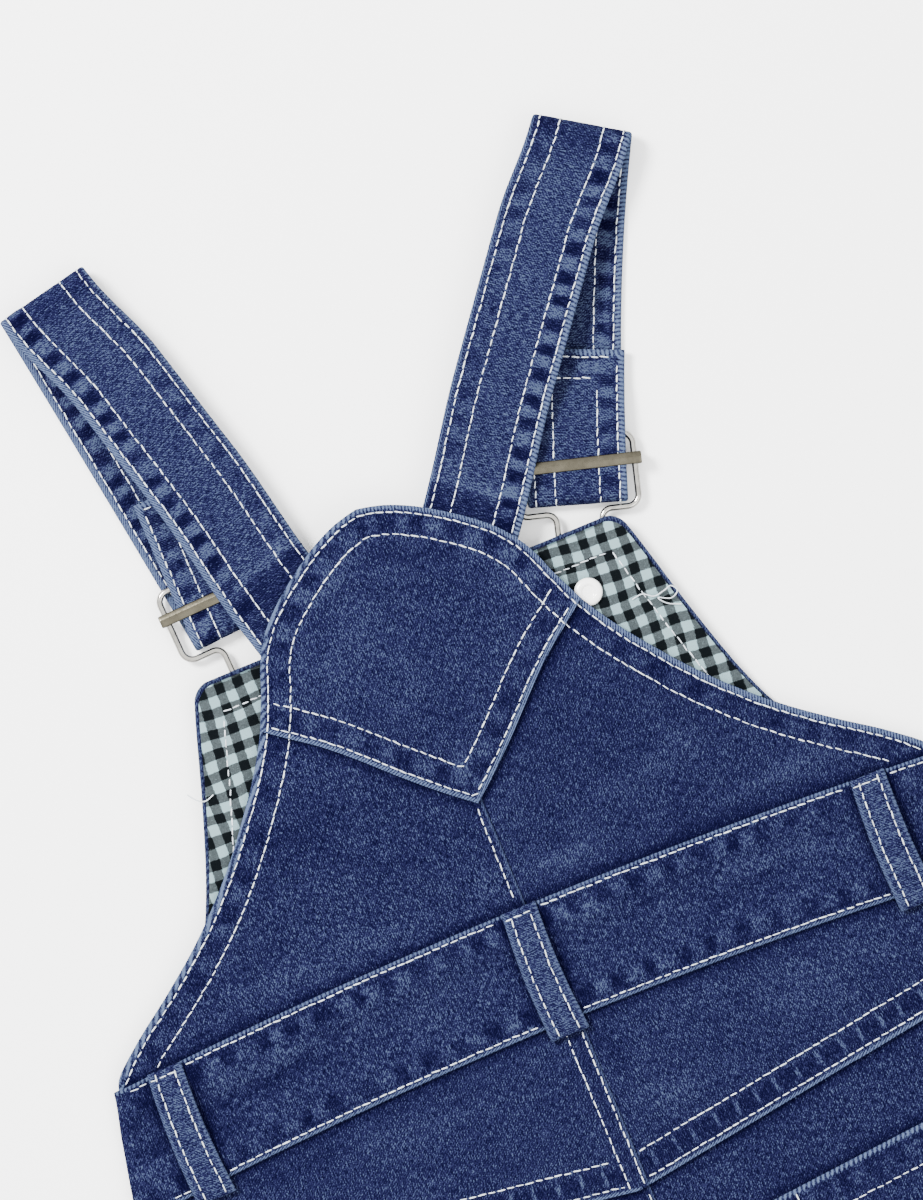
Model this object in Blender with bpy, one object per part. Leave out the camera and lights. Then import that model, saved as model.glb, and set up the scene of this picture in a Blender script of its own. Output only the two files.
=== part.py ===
"""A toddler's denim overalls, laid flat on their front with the back uppermost.

Sizes are in millimetres. X runs across the garment, Y along it towards the shoulder straps and Z up.
Everything is drawn about the middle of the waist. The finished garment is then moved along Y, so that
the origin lies under the middle of its box. Left and right are the wearer's.

A panel is drawn by its outer face, the top of a back panel or the underside of a front one, and its
wall is added behind that face.
"""

import math

import bmesh
import bpy
from mathutils import Matrix, Vector

MM = 0.001

# Cloth
DENIM = 1.2
LINING = 1.0
STRAP_WALL = 2.0
LOOP_WALL = 1.8
GAP = 0.3
LAYER = DENIM + GAP
LAP = 8.0

# Heights of the outer faces over the surface that the garment lies on
BACK_HEIGHT = 5.2
BACK_CROWN = 0.8
BACK_BIB_HEIGHT = 10.4
FRONT_BIB_LIFT = 4.6
BACK_JOIN = 2.7
FRONT_JOIN = BACK_JOIN - GAP
BACK_ROUND = 4.0
FRONT_ROUND = 3.0

# Body and legs
CROTCH_Y = -195.0
CROTCH_EASE = 18.0
HEM_Y = -450.0
# Half the body's width, each row (y, half width)
SIDE_SEAM = (
    (150.0, 137.0),
    (2.0, 137.0),
    (-15.0, 140.5),
    (-34.0, 144.5),
    (-70.0, 151.0),
    (-120.0, 155.5),
    (-200.0, 157.0),
    (-300.0, 155.0),
    (HEM_Y, 151.0),
)
# The leg's inner edge below the crotch, each row (y, distance from the middle)
INSEAM = (
    (CROTCH_Y, GAP / 2),
    (-204.0, 3.5),
    (-218.0, 8.5),
    (-250.0, 16.0),
    (-320.0, 25.0),
    (HEM_Y, 35.0),
)
# Soft folds of the legs, each row (x, y, direction in degrees, length, half width, height)
LEG_FOLDS = (
    (22.0, -212.0, 62.0, 60.0, 9.0, -1.1),
    (40.0, -226.0, 38.0, 70.0, 8.0, 0.5),
    (52.0, -250.0, 24.0, 66.0, 10.0, -0.9),
    (96.0, -318.0, -12.0, 92.0, 11.0, -1.0),
    (78.0, -346.0, 9.0, 84.0, 9.0, 0.4),
    (104.0, -398.0, -16.0, 70.0, 10.0, -0.8),
    (118.0, -262.0, -48.0, 60.0, 9.0, -0.7),
)

# Waistband
BAND_TOP_Y = 4.5
BAND_TOP_DROP = 5.0
BAND_BOTTOM_Y = -33.4
BAND_BOTTOM_DROP = 6.4
BAND_SAG = 1.1
BAND_HALF_WIDTH = 138.0

# Belt loops, each row (name, x)
LOOPS = (("left", -121.0), ("centre", -1.0), ("right", 114.0))
LOOP_WIDTH = 12.0
LOOP_BELOW_BAND = 4.2

# Back bib: its armhole edge from the waist up, each row (x, y)
ARMHOLE = (
    (136.4, 1.4),
    (126.0, 11.0),
    (112.0, 21.0),
    (99.0, 31.0),
    (88.0, 41.0),
    (78.0, 51.5),
    (69.0, 62.5),
    (60.5, 74.0),
    (53.5, 85.5),
    (48.5, 97.0),
    (46.0, 110.0),
)
BACK_BIB_RISE = (8.0, 78.0)

# The patch that carries the straps: a five-cornered piece with its point on the middle seam
PATCH_TIP_Y = 39.0
PATCH_SEAM_END = (53.5, 85.5)
PATCH_SHOULDER = (46.0, 110.0)
PATCH_PEAK = (1.5, 137.0)
PATCH_TOP_BELLY = 2.2

# Back yoke and back pockets
YOKE_MIDDLE_Y = -90.3
YOKE_SLOPE = 0.15
POCKET_TOP_INNER = (36.0, -109.0)
POCKET_TOP_OUTER = (126.0, -101.3)
POCKET_LOW_INNER = (41.0, -186.0)
POCKET_LOW_OUTER = (121.5, -181.0)
POCKET_POINT = (82.0, -203.0)

# Front bib
FRONT_BIB_TOP_Y = 106.0
FRONT_BIB_SHIFT = 3.3
FRONT_BIB_RISE = (12.0, 68.0)
LINING_INSET = 1.4
# Half the front bib's width, each row (y, half width)
FRONT_BIB_EDGE = (
    (FRONT_BIB_TOP_Y, 70.7),
    (95.0, 74.3),
    (68.0, 82.2),
    (43.0, 90.8),
    (28.0, 98.5),
    (17.0, 110.0),
    (8.0, 124.0),
    (0.5, 136.2),
)

# Straps, turned over at the shoulder and again inside the buckle
STRAP_WIDTH = 31.0
STRAP_TUCK = 12.0
SHOULDER_RADIUS = 4.2
STRAP_ARCH = 1.0
STRAP_TAIL = 45.0
# The strap's turn round the buckle's wire, to the middle of its wall
BUCKLE_RADIUS = 2.3
TAIL_LIES = 2.3
TAIL_DROP = (21.0, 40.0)
# Angles are degrees to the right of +Y. upper, fold and buckle are the directions of the strap, of the
# line square to its fold and of its buckle, and second_fold is how far its fold in the buckle is askew.
# bend is how sharply its lower layer turns in the plane, and slip is how far the hook is pulled along.
STRAPS = {
    "left": {
        "base": (-33.3, 121.6),
        "upper": -15.2,
        "upper_length": 113.6,
        "fold": -11.99,
        "lower_length": 112.1,
        "bend": -0.00012,
        "second_fold": 3.5,
        "button": (-46.8, 87.2),
        "slip": 2.2,
        "buckle": -2.0,
    },
    "right": {
        "base": (31.6, 119.7),
        "upper": 37.9,
        "upper_length": 123.1,
        "fold": 33.15,
        "lower_length": 109.8,
        "bend": 0.00165,
        "second_fold": 0.6,
        "button": (56.4, 86.4),
        "slip": 0.0,
        "buckle": 16.0,
    },
}

# Buckles, measured from the button along the strap
WIRE = 2.0
WIRE_HEIGHT = 3.3
FRAME_HALF = 19.0
FRAME_LOW = 25.0
FRAME_TOP = 47.8
FRAME_CORNER = 3.6
NECK_HALF = 7.1
NECK_CORNER = 3.0
SLIDE_AT = 39.6
SLIDE_DEPTH = 3.8
SLIDE_SHEET = 0.8
SLIDE_TOP = 7.7
SLIDE_LOW = 1.2
SLIDE_LIP = 2.7

# Bib buttons and the round backs that hold them
BUTTON_RADIUS = 8.5
BUTTON_THICK = 2.0
SHANK_RADIUS = 2.6
TACK_RADIUS = 4.4
TACK_THICK = 1.5

DENIM_BLUE = (0.035, 0.058, 0.19)
WEBBING_BLUE = (0.045, 0.075, 0.23)
GINGHAM_GREY = (0.30, 0.35, 0.36)
NICKEL = (0.62, 0.60, 0.55)
SNAP_WHITE = (0.86, 0.86, 0.84)

# Shares of a rounded edge at which its columns stand, evenly spaced round the bend
EDGE_SHARES = tuple(1 - math.cos(math.radians(22.5 * k)) for k in range(5))


# Curves and tables


def ease(value, start, end):
    """0 before start, 1 after end, and smooth between them."""
    share = min(1.0, max(0.0, (value - start) / (end - start)))
    return share * share * (3 - 2 * share)


def read(table, at):
    """The second column's value where a smooth curve through the table's rows passes at."""
    rows = sorted(table)
    if at <= rows[0][0]:
        return rows[0][1]
    if at >= rows[-1][0]:
        return rows[-1][1]
    low = max(i for i in range(len(rows) - 1) if rows[i][0] <= at)

    def slope(i):
        before, after = rows[max(i - 1, 0)], rows[min(i + 1, len(rows) - 1)]
        return (after[1] - before[1]) / (after[0] - before[0])

    (x0, v0), (x1, v1) = rows[low], rows[low + 1]
    span = x1 - x0
    t = (at - x0) / span
    return (
        (2 * t**3 - 3 * t**2 + 1) * v0
        + (t**3 - 2 * t**2 + t) * span * slope(low)
        + (3 * t**2 - 2 * t**3) * v1
        + (t**3 - t**2) * span * slope(low + 1)
    )


def evenly(points, count):
    """count points, evenly spaced along the line through these points."""
    points = [Vector(p) for p in points]
    lengths = [0.0]
    for a, b in zip(points, points[1:]):
        lengths.append(lengths[-1] + (b - a).length)
    found = []
    for k in range(count):
        target = lengths[-1] * k / (count - 1)
        i = min(
            range(len(points) - 1), key=lambda i: (lengths[i + 1] < target - 1e-9, i)
        )
        part = (target - lengths[i]) / (lengths[i + 1] - lengths[i])
        found.append(points[i].lerp(points[i + 1], part))
    return found


def curve(points, count, steps=12):
    """count points, evenly spaced along a smooth curve through these points."""
    points = [Vector(p) for p in points]
    fine = []
    for i in range(len(points) - 1):
        p0, p1 = points[max(i - 1, 0)], points[i]
        p2, p3 = points[i + 1], points[min(i + 2, len(points) - 1)]
        for k in range(steps):
            t = k / steps
            fine.append(
                0.5
                * (
                    2 * p1
                    + (p2 - p0) * t
                    + (2 * p0 - 5 * p1 + 4 * p2 - p3) * t**2
                    + (3 * p1 - p0 - 3 * p2 + p3) * t**3
                )
            )
    return evenly(fine + [points[-1]], count)


def coons(bottom, top, left, right):
    """Rows of points, from the bottom edge up, of a patch that fills these four edges."""
    rows = []
    for j in range(len(left)):
        v = j / (len(left) - 1)
        row = []
        for i in range(len(bottom)):
            u = i / (len(bottom) - 1)
            corners = (
                (1 - u) * (1 - v) * bottom[0]
                + u * (1 - v) * bottom[-1]
                + (1 - u) * v * top[0]
                + u * v * top[-1]
            )
            sides = (1 - u) * left[j] + u * right[j]
            ends = (1 - v) * bottom[i] + v * top[i]
            row.append(sides + ends - corners)
        rows.append(row)
    return rows


def mirrored(rows):
    """The same rows on the other side, still running from -X to +X."""
    return [[Vector((-p[0], *p[1:])) for p in reversed(row)] for row in rows]


# The garment's outline and heights


def band_top(x):
    return BAND_TOP_Y - BAND_TOP_DROP * (x / BAND_HALF_WIDTH) ** 2


def band_bottom(x):
    return BAND_BOTTOM_Y - BAND_BOTTOM_DROP * (x / BAND_HALF_WIDTH) ** 2


def yoke_edge(x):
    return YOKE_MIDDLE_Y + YOKE_SLOPE * abs(x)


def bulge(distance, radius):
    """0 at a rounded edge and 1 beyond its radius, along a quarter of an ellipse."""
    share = min(1.0, max(0.0, distance / radius))
    return math.sqrt(1 - (1 - share) ** 2)


def edge_share(x, y, radius, layer):
    """How far the face at that place has come round from the side seam and the inseam."""
    side = bulge(read(SIDE_SEAM, y) + layer - abs(x), radius)
    below = ease(CROTCH_Y - y, 0.0, CROTCH_EASE)
    inner = bulge(abs(x) - read(INSEAM, y), radius) if y < CROTCH_Y else 1.0
    return side * (1 - below + below * inner)


def leg_fold(x, y):
    """The height of the soft folds at that place of a leg."""
    total = 0.0
    for fold_x, fold_y, turn, length, half_width, height in LEG_FOLDS:
        away = Vector((abs(x) - fold_x, y - fold_y))
        direction = Vector((math.cos(math.radians(turn)), math.sin(math.radians(turn))))
        lengthwise = away.dot(direction) / (length / 2)
        across = away.cross(direction) / half_width
        total += height * math.exp(-(across**2) - lengthwise**4)
    return total


def back_face(x, y, layer=0.0):
    """The height of a back panel's outer face that lies layer above the lowest back panel."""
    crown = BACK_CROWN * (1 - (x / read(SIDE_SEAM, y)) ** 2)
    middle = BACK_HEIGHT + crown + leg_fold(x, y)
    top = middle + (BACK_BIB_HEIGHT - middle) * ease(y, *BACK_BIB_RISE)
    share = edge_share(x, y, BACK_ROUND + layer, layer)
    return BACK_JOIN + (top + layer - BACK_JOIN) * share


def front_face(x, y, layer=0.0):
    """The height of a front panel's outer face, its underside."""
    return FRONT_JOIN * (1 - edge_share(x, y, FRONT_ROUND + layer, layer))


def between(inner, outer, count, round_outer=0.0, round_inner=0.0):
    """x values from inner to outer, with more of them round the edges that are rounded."""
    first = [inner + round_inner * share for share in EDGE_SHARES] if round_inner else [inner]
    last = [outer - round_outer * share for share in reversed(EDGE_SHARES)] if round_outer else [outer]
    start, end = first[-1], last[0]
    middle = [start + (end - start) * k / (count + 1) for k in range(1, count + 1)]
    return first + middle + last


# Making the pieces


def material(name, colour, roughness, metallic=0.0):
    made = bpy.data.materials.new(name)
    made.use_nodes = True
    shader = made.node_tree.nodes["Principled BSDF"]
    shader.inputs["Base Color"].default_value = (*colour, 1.0)
    shader.inputs["Roughness"].default_value = roughness
    shader.inputs["Metallic"].default_value = metallic
    return made


def add(name, mesh, finish):
    piece = bpy.data.objects.new(name, mesh)
    bpy.context.scene.collection.objects.link(piece)
    mesh.materials.append(finish)
    return piece


def tangents(line):
    """The way that the line runs at each of its points."""
    ways = [(c - a).normalized() for a, c in zip(line, line[2:])]
    first = 2 * (line[1] - line[0]).normalized() - ways[0]
    last = 2 * (line[-1] - line[-2]).normalized() - ways[-1]
    return [first.normalized(), *ways, last.normalized()]


def cloth(name, rows, wall, finish, face_down=False):
    """A panel with its outer face on these rows of points, and its wall behind that face."""
    rows = [[Vector(p) for p in row] for row in rows]
    across = [tangents(row) for row in rows]
    along = list(zip(*(tangents(column) for column in zip(*rows))))
    width, count = len(rows[0]), len(rows) * len(rows[0])
    inner = []
    for j, row in enumerate(rows):
        inner.append([])
        for i, place in enumerate(row):
            normal = across[j][i].cross(along[j][i]).normalized()
            # The cut edges stand square to the seams beside them, so that pieces stay apart there.
            if j in (0, len(rows) - 1):
                normal.y = 0.0
            if i in (0, width - 1) and normal.z > 0.7:
                normal.x = 0.0
            inner[-1].append(place - normal.normalized() * (-wall if face_down else wall))
    points = [p * MM for layer in (rows, inner) for row in layer for p in row]
    faces = []
    for j in range(len(rows) - 1):
        for i in range(width - 1):
            a = j * width + i
            faces.append((a, a + 1, a + width + 1, a + width))
            faces.append(tuple(k + count for k in reversed(faces[-1])))
    rim = [*range(width), *range(2 * width - 1, count, width)]
    rim += [*range(count - 2, count - width - 1, -1), *range(count - 2 * width, 0, -width)]
    for a, b in zip(rim, rim[1:] + rim[:1]):
        faces.append((b, a, a + count, b + count))
    if face_down:
        faces = [face[::-1] for face in faces]
    mesh = bpy.data.meshes.new(name)
    mesh.from_pydata(points, [], faces)
    mesh.shade_smooth()
    add(name, mesh, finish)


def turned(name, profile, centre, finish, sides=18):
    """A round piece: profile is its outline (radius, height) from the axis round to the axis."""
    shape = bmesh.new()
    line = [shape.verts.new(Vector((r, 0, z)) * MM) for r, z in profile]
    edges = [shape.edges.new(pair) for pair in zip(line, line[1:])]
    bmesh.ops.spin(
        shape, geom=line + edges, axis=(0, 0, 1), cent=(0, 0, 0), angle=math.tau, steps=sides
    )
    bmesh.ops.remove_doubles(shape, verts=shape.verts, dist=0.00001)
    bmesh.ops.recalc_face_normals(shape, faces=shape.faces)
    mesh = bpy.data.meshes.new(name)
    shape.to_mesh(mesh)
    shape.free()
    piece = add(name, mesh, finish)
    piece.location = Vector((*centre, 0)) * MM
    return piece


def make_back_bib(denim):
    """Two halves of the back bib, joined down the middle and tucked under the waistband and patch."""
    columns, levels = 9, 12
    lap_up = LAP / math.cos(math.atan2(PATCH_SEAM_END[1] - PATCH_TIP_Y, PATCH_SEAM_END[0]))
    edge = [p for p in ARMHOLE if p[1] < PATCH_SEAM_END[1] + LAP]
    top_corner = (50.2, PATCH_SEAM_END[1] + LAP - 1.0)
    right = curve([(135.6, -6.8), *edge, top_corner], levels)
    bottom = [Vector((x, band_top(x) - LAP)) for x in between(GAP / 2, 135.6, columns - 2)]
    top = evenly([(GAP / 2, PATCH_TIP_Y + lap_up), top_corner], columns)
    left = evenly([bottom[0], top[0]], levels)
    bottom[-1] = right[0]
    half = [
        [(*p, back_face(*p)) for p in row] for row in coons(bottom, top, left, right)
    ]
    cloth("back_bib_right", half, DENIM, denim)
    cloth("back_bib_left", mirrored(half), DENIM, denim)


def make_patch(denim):
    """The five-cornered patch over the top of the back bib, which the straps come out from."""
    columns, levels = 13, 10
    seam = evenly([(-PATCH_SEAM_END[0], PATCH_SEAM_END[1]), (0, PATCH_TIP_Y)], columns // 2 + 1)
    seam += evenly([(0, PATCH_TIP_Y), PATCH_SEAM_END], columns // 2 + 1)[1:]
    shoulder_x, shoulder_y = PATCH_SHOULDER
    peak = Vector(PATCH_PEAK)
    slope_left = (Vector((-shoulder_x, shoulder_y)) + peak) / 2 + Vector((-0.5, 1)) * PATCH_TOP_BELLY
    slope_right = (Vector((shoulder_x, shoulder_y)) + peak) / 2 + Vector((0.5, 1)) * PATCH_TOP_BELLY
    top = evenly([(-shoulder_x, shoulder_y), slope_left, peak], columns // 2 + 1)
    top += evenly([peak, slope_right, (shoulder_x, shoulder_y)], columns // 2 + 1)[1:]
    side = [PATCH_SEAM_END, (48.5, 97.0), PATCH_SHOULDER]
    right = curve(side, levels)
    left = curve([(-x, y) for x, y in side], levels)
    rows = [
        [(*p, back_face(*p, LAYER)) for p in row] for row in coons(seam, top, left, right)
    ]
    cloth("back_bib_patch", rows, DENIM, denim)


def make_waistband(denim):
    """The back and front of the waistband, which meet at the sides."""
    # Each row (share of the way up, how far the cloth sags from the height of its sewn edges)
    band_rows = ((0.0, 0.0), (0.24, 0.0), (0.40, 0.9), (0.52, 1.0), (0.64, 0.9), (0.78, 0.0), (1.0, 0.0))
    back, front = [], []
    for share, sag in band_rows:
        y_side = band_bottom(BAND_HALF_WIDTH) * (1 - share) + band_top(BAND_HALF_WIDTH) * share
        side = read(SIDE_SEAM, y_side) + LAYER
        xs = between(0, side, 7, BACK_ROUND + LAYER)
        row = []
        for x in [-x for x in reversed(xs[1:])] + xs:
            y = band_bottom(x) * (1 - share) + band_top(x) * share
            reach = min(1.0, (side - abs(x)) / (BACK_ROUND + LAYER))
            x = math.copysign(read(SIDE_SEAM, y) + LAYER - (side - abs(x)), x) if x else 0.0
            row.append(Vector((x, y, back_face(x, y, LAYER) - sag * BAND_SAG * reach)))
        back.append(row)
    for share in (0.0, 0.34, 0.67, 1.0):
        y_side = band_bottom(BAND_HALF_WIDTH) * (1 - share) + band_top(BAND_HALF_WIDTH) * share
        side = read(SIDE_SEAM, y_side) + LAYER
        xs = between(0, side, 4, FRONT_ROUND + LAYER)
        row = []
        for x in [-x for x in reversed(xs[1:])] + xs:
            y = band_bottom(x) * (1 - share) + band_top(x) * share
            x = math.copysign(read(SIDE_SEAM, y) + LAYER - (side - abs(x)), x) if x else 0.0
            row.append(Vector((x, y, front_face(x, y, LAYER))))
        front.append(row)
    cloth("waistband_back", back, DENIM, denim)
    cloth("waistband_front", front, DENIM, denim, face_down=True)


def make_belt_loops(denim):
    outer = LAYER + GAP + LOOP_WALL
    for name, middle in LOOPS:
        low, high = band_bottom(middle) - LOOP_BELOW_BAND, band_top(middle) + GAP
        rows = []
        for k in range(6):
            y = low + (high - low) * k / 5
            xs = [middle + LOOP_WIDTH * share for share in (-0.5, 0.0, 0.5)]
            height = max(back_face(x, min(y, 0.0), outer) for x in xs)
            rows.append([(x, y, height) for x in xs])
        cloth(f"belt_loop_{name}", rows, LOOP_WALL, denim)


def make_yokes(denim):
    """The shaped pieces between the waistband and the back legs, lapped over the legs."""
    # Each row (share of the way from the leg's seam to the waistband, layer it lies on, offset along Y)
    yoke_rows = (
        (0.0, LAYER, 0.0),
        (0.0, LAYER, LAP * 0.5),
        (0.0, LAYER, LAP + 1.6),
        (0.6, LAYER * 0.55, 0.0),
        (1.0, 0.0, -1.8),
        (1.0, 0.0, LAP),
    )
    rows = []
    for share, layer, offset in yoke_rows:
        def level(x):
            return yoke_edge(x) * (1 - share) + band_bottom(x) * share + offset

        side_y = level(read(SIDE_SEAM, level(150)))
        side = read(SIDE_SEAM, side_y) + layer
        row = []
        for x in between(GAP / 2, side, 6, BACK_ROUND + layer):
            y = level(x)
            if x > side / 2:
                x = read(SIDE_SEAM, y) + layer - (side - x)
            row.append((x, y, back_face(x, y, layer)))
        rows.append(row)
    cloth("back_yoke_right", rows, DENIM, denim)
    cloth("back_yoke_left", mirrored(rows), DENIM, denim)


def leg_rows(levels, columns, slant, face, rounding):
    """Rows of a leg panel from the hem up. slant(x, y) moves a level's points along Y."""
    rows = []
    for y in levels:
        inner, outer = read(INSEAM, y), read(SIDE_SEAM, y)
        row = []
        for x in between(inner, outer, columns, rounding, rounding):
            at = y + slant(x, y)
            edge = outer - x < inner + (outer - inner) / 2
            x += read(SIDE_SEAM, at) - outer if edge and at > CROTCH_Y else 0.0
            row.append((x, at, face(x, at)))
        rows.append(row)
    return rows


def make_legs(denim):
    low_levels = (HEM_Y, -432.0, -404.0, -370.0, -335.0, -300.0, -270.0, -246.0, -228.0, -214.0)
    back_levels = (*low_levels, -205.0, -199.0, -194.0, -182.0, -160.0, -135.0, -110.0, -93.0)
    top_level = YOKE_MIDDLE_Y + LAP

    def back_slant(x, y):
        return (yoke_edge(x) - YOKE_MIDDLE_Y) * ease(y, CROTCH_Y, -110.0)

    back = leg_rows((*back_levels, top_level), 6, back_slant, back_face, BACK_ROUND)
    cloth("back_leg_right", back, DENIM, denim)
    cloth("back_leg_left", mirrored(back), DENIM, denim)

    def front_slant(x, y):
        return (band_bottom(x) - BAND_BOTTOM_Y) * ease(y, -90.0, -45.0)

    front_levels = (*low_levels[::2], -228.0, -214.0, -205.0, -199.0, -194.0, -160.0, -90.0)
    front = leg_rows((*front_levels, BAND_BOTTOM_Y - GAP), 3, front_slant, front_face, FRONT_ROUND)
    cloth("front_leg_right", front, DENIM, denim, face_down=True)
    cloth("front_leg_left", mirrored(front), DENIM, denim, face_down=True)


def make_back_pockets(denim):
    columns, levels = 8, 7
    bottom = evenly([POCKET_LOW_INNER, POCKET_POINT], columns // 2 + 1)
    bottom += evenly([POCKET_POINT, POCKET_LOW_OUTER], columns // 2 + 1)[1:]
    top = evenly([POCKET_TOP_INNER, POCKET_TOP_OUTER], columns + 1)
    left = evenly([POCKET_LOW_INNER, POCKET_TOP_INNER], levels)
    right = evenly([POCKET_LOW_OUTER, POCKET_TOP_OUTER], levels)
    rows = [
        [(*p, back_face(*p, LAYER)) for p in row] for row in coons(bottom, top, left, right)
    ]
    cloth("back_pocket_right", rows, DENIM, denim)
    cloth("back_pocket_left", mirrored(rows), DENIM, denim)


def front_bib_rows(inset, low_offset, face, columns=14, levels=12):
    """Rows of the front bib from the waist up, taken in by inset at its free edges."""
    rows = []
    for j in range(levels):
        share = j / (levels - 1)
        level = share * (FRONT_BIB_TOP_Y - inset)
        half = read(FRONT_BIB_EDGE, max(level, 0.5)) - inset
        middle = FRONT_BIB_SHIFT * level / FRONT_BIB_TOP_Y
        row = []
        for i in range(columns + 1):
            across = 2 * i / columns - 1
            x = middle + half * across
            y = level + (band_top(x) + low_offset) * (1 - share) ** 3
            row.append((x, y, face(x, y)))
        rows.append(row)
    return rows


def make_front_bib(denim, gingham):
    """The front bib, lying on its buttons with its checked lining uppermost."""

    def underside(x, y):
        return FRONT_BIB_LIFT * ease(y, *FRONT_BIB_RISE)

    def lining_top(x, y):
        return underside(x, y) + LAYER + LINING

    cloth("front_bib", front_bib_rows(0.0, GAP, underside), DENIM, denim, face_down=True)

    cloth("front_bib_lining", front_bib_rows(LINING_INSET, 2.0, lining_top), LINING, gingham)


def turned_over(along, across, rise, at, radius, askew, side):
    """Where a point of a flat strip lies once the strip is turned over about a round of that radius.

    The fold is at that length along the strip, askew by that angle. rise is the height over the
    middle of the strip's wall, and side is 1 for a strip turned over towards +rise.
    """
    past = along - at
    over = past * math.cos(askew) - across * math.sin(askew)
    sideways = past * math.sin(askew) + across * math.cos(askew)
    angle = min(max(over / radius, 0.0), math.pi)
    reach = (radius - side * rise) * math.sin(angle)
    height = side * radius * (1 - math.cos(angle)) + rise * math.cos(angle)
    reach += min(over, 0.0) - max(over - math.pi * radius, 0.0)
    return (
        at + reach * math.cos(askew) + sideways * math.sin(askew),
        sideways * math.cos(askew) - reach * math.sin(askew),
        height,
    )


def strap_point(strap, along, across, rise):
    """Where a point of the flat strap lies. along runs from the patch and across to its right."""
    upper_length = strap["upper_length"]
    shoulder_turn = math.pi * SHOULDER_RADIUS
    end = upper_length + shoulder_turn + strap["lower_length"]
    arch = STRAP_ARCH * math.sin(math.pi * ease(along, 0.0, upper_length))
    drop = (2 * BUCKLE_RADIUS - TAIL_LIES) * ease(
        along - end - math.pi * BUCKLE_RADIUS, *TAIL_DROP
    )
    askew = math.radians(strap["second_fold"])
    along, across, rise = turned_over(along, across, rise, end, BUCKLE_RADIUS, askew, -1)
    rise += drop
    bent = along - upper_length - shoulder_turn
    if bent > 0:
        turn = strap["bend"] * bent
        along += math.sin(turn) / strap["bend"] - across * math.sin(turn) - bent
        across = (1 - math.cos(turn)) / strap["bend"] + across * math.cos(turn)
    askew = math.radians(strap["upper"] - strap["fold"])
    along, across, rise = turned_over(
        along, across, rise, upper_length, SHOULDER_RADIUS, askew, -1
    )
    way = math.radians(strap["upper"])
    x, y = strap["base"]
    return Vector(
        (
            x + along * math.sin(way) + across * math.cos(way),
            y + along * math.cos(way) - across * math.sin(way),
            STRAP_WALL / 2 + 2 * SHOULDER_RADIUS + rise + arch,
        )
    )


def make_strap(name, strap, denim):
    """One strap: up from the patch, over the shoulder, down, and back up through the buckle."""
    shoulder, buckle = math.pi * SHOULDER_RADIUS, math.pi * BUCKLE_RADIUS
    upper = strap["upper_length"]
    end = upper + shoulder + strap["lower_length"]
    shoulder_slant = math.tan(math.radians(strap["upper"] - strap["fold"]))
    buckle_slant = math.tan(math.radians(strap["second_fold"]))
    tail = end + buckle + STRAP_TAIL
    # Stretches of the strap, each row (to, steps, slant of its last cross-section)
    stretches = (
        (upper, 8, shoulder_slant),
        (upper + shoulder, 8, shoulder_slant),
        (end, 9, buckle_slant),
        (end + buckle, 8, buckle_slant),
        (tail - 24.0, 2, 0.0),
        (tail - 5.0, 4, 0.0),
        (tail, 1, 0.0),
    )
    stations = [(-STRAP_TUCK, 0.0)]
    for stop, steps, slant in stretches:
        start, first = stations[-1]
        for k in range(1, steps + 1):
            stations.append((start + (stop - start) * k / steps, first + (slant - first) * k / steps))
    half = STRAP_WALL / 2
    corners = [(share, half) for share in (-0.5, 0.0, 0.5)]
    corners += [(share, -half) for share in (0.5, 0.0, -0.5)]
    shape = bmesh.new()
    rings = []
    for at, slant in stations:
        ring = []
        for share, rise in corners:
            across = STRAP_WIDTH * share
            place = strap_point(strap, at + across * slant, across, rise)
            ring.append(shape.verts.new(place * MM))
        rings.append(ring)
    for ring, following in zip(rings, rings[1:]):
        for k in range(len(ring)):
            n = (k + 1) % len(ring)
            shape.faces.new((ring[k], ring[n], following[n], following[k]))
    for ring in (rings[0], rings[-1]):
        shape.faces.new((ring[0], ring[1], ring[4], ring[5]))
        shape.faces.new((ring[1], ring[2], ring[3], ring[4]))
    bmesh.ops.recalc_face_normals(shape, faces=shape.faces)
    mesh = bpy.data.meshes.new(name)
    shape.to_mesh(mesh)
    shape.free()
    mesh.shade_smooth()
    add(name, mesh, denim)


def rounded(corners, steps=4):
    """A line through the corners, each row (x, y, radius), with an arc in place of each corner."""
    line = []
    for k, (x, y, radius) in enumerate(corners):
        here = Vector((x, y))
        before = (Vector(corners[k - 1][:2]) - here).normalized()
        after = (Vector(corners[(k + 1) % len(corners)][:2]) - here).normalized()
        half = before.angle(after) / 2
        centre = here + (before + after).normalized() * (radius / math.sin(half))
        start, end = (here + way * (radius / math.tan(half)) - centre for way in (before, after))
        sweep = start.angle_signed(end)
        line += [centre + Matrix.Rotation(-sweep * i / steps, 2) @ start for i in range(steps + 1)]
    return line


def buckle_place(strap):
    """Puts a shape drawn about the button, with the strap along +Y, where that strap's buckle is."""
    turn = Matrix.Rotation(-math.radians(strap["buckle"]), 4, "Z")
    slip = Matrix.Translation((0, strap["slip"] * MM, 0))
    return Matrix.Translation(Vector((*strap["button"], 0)) * MM) @ turn @ slip


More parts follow.
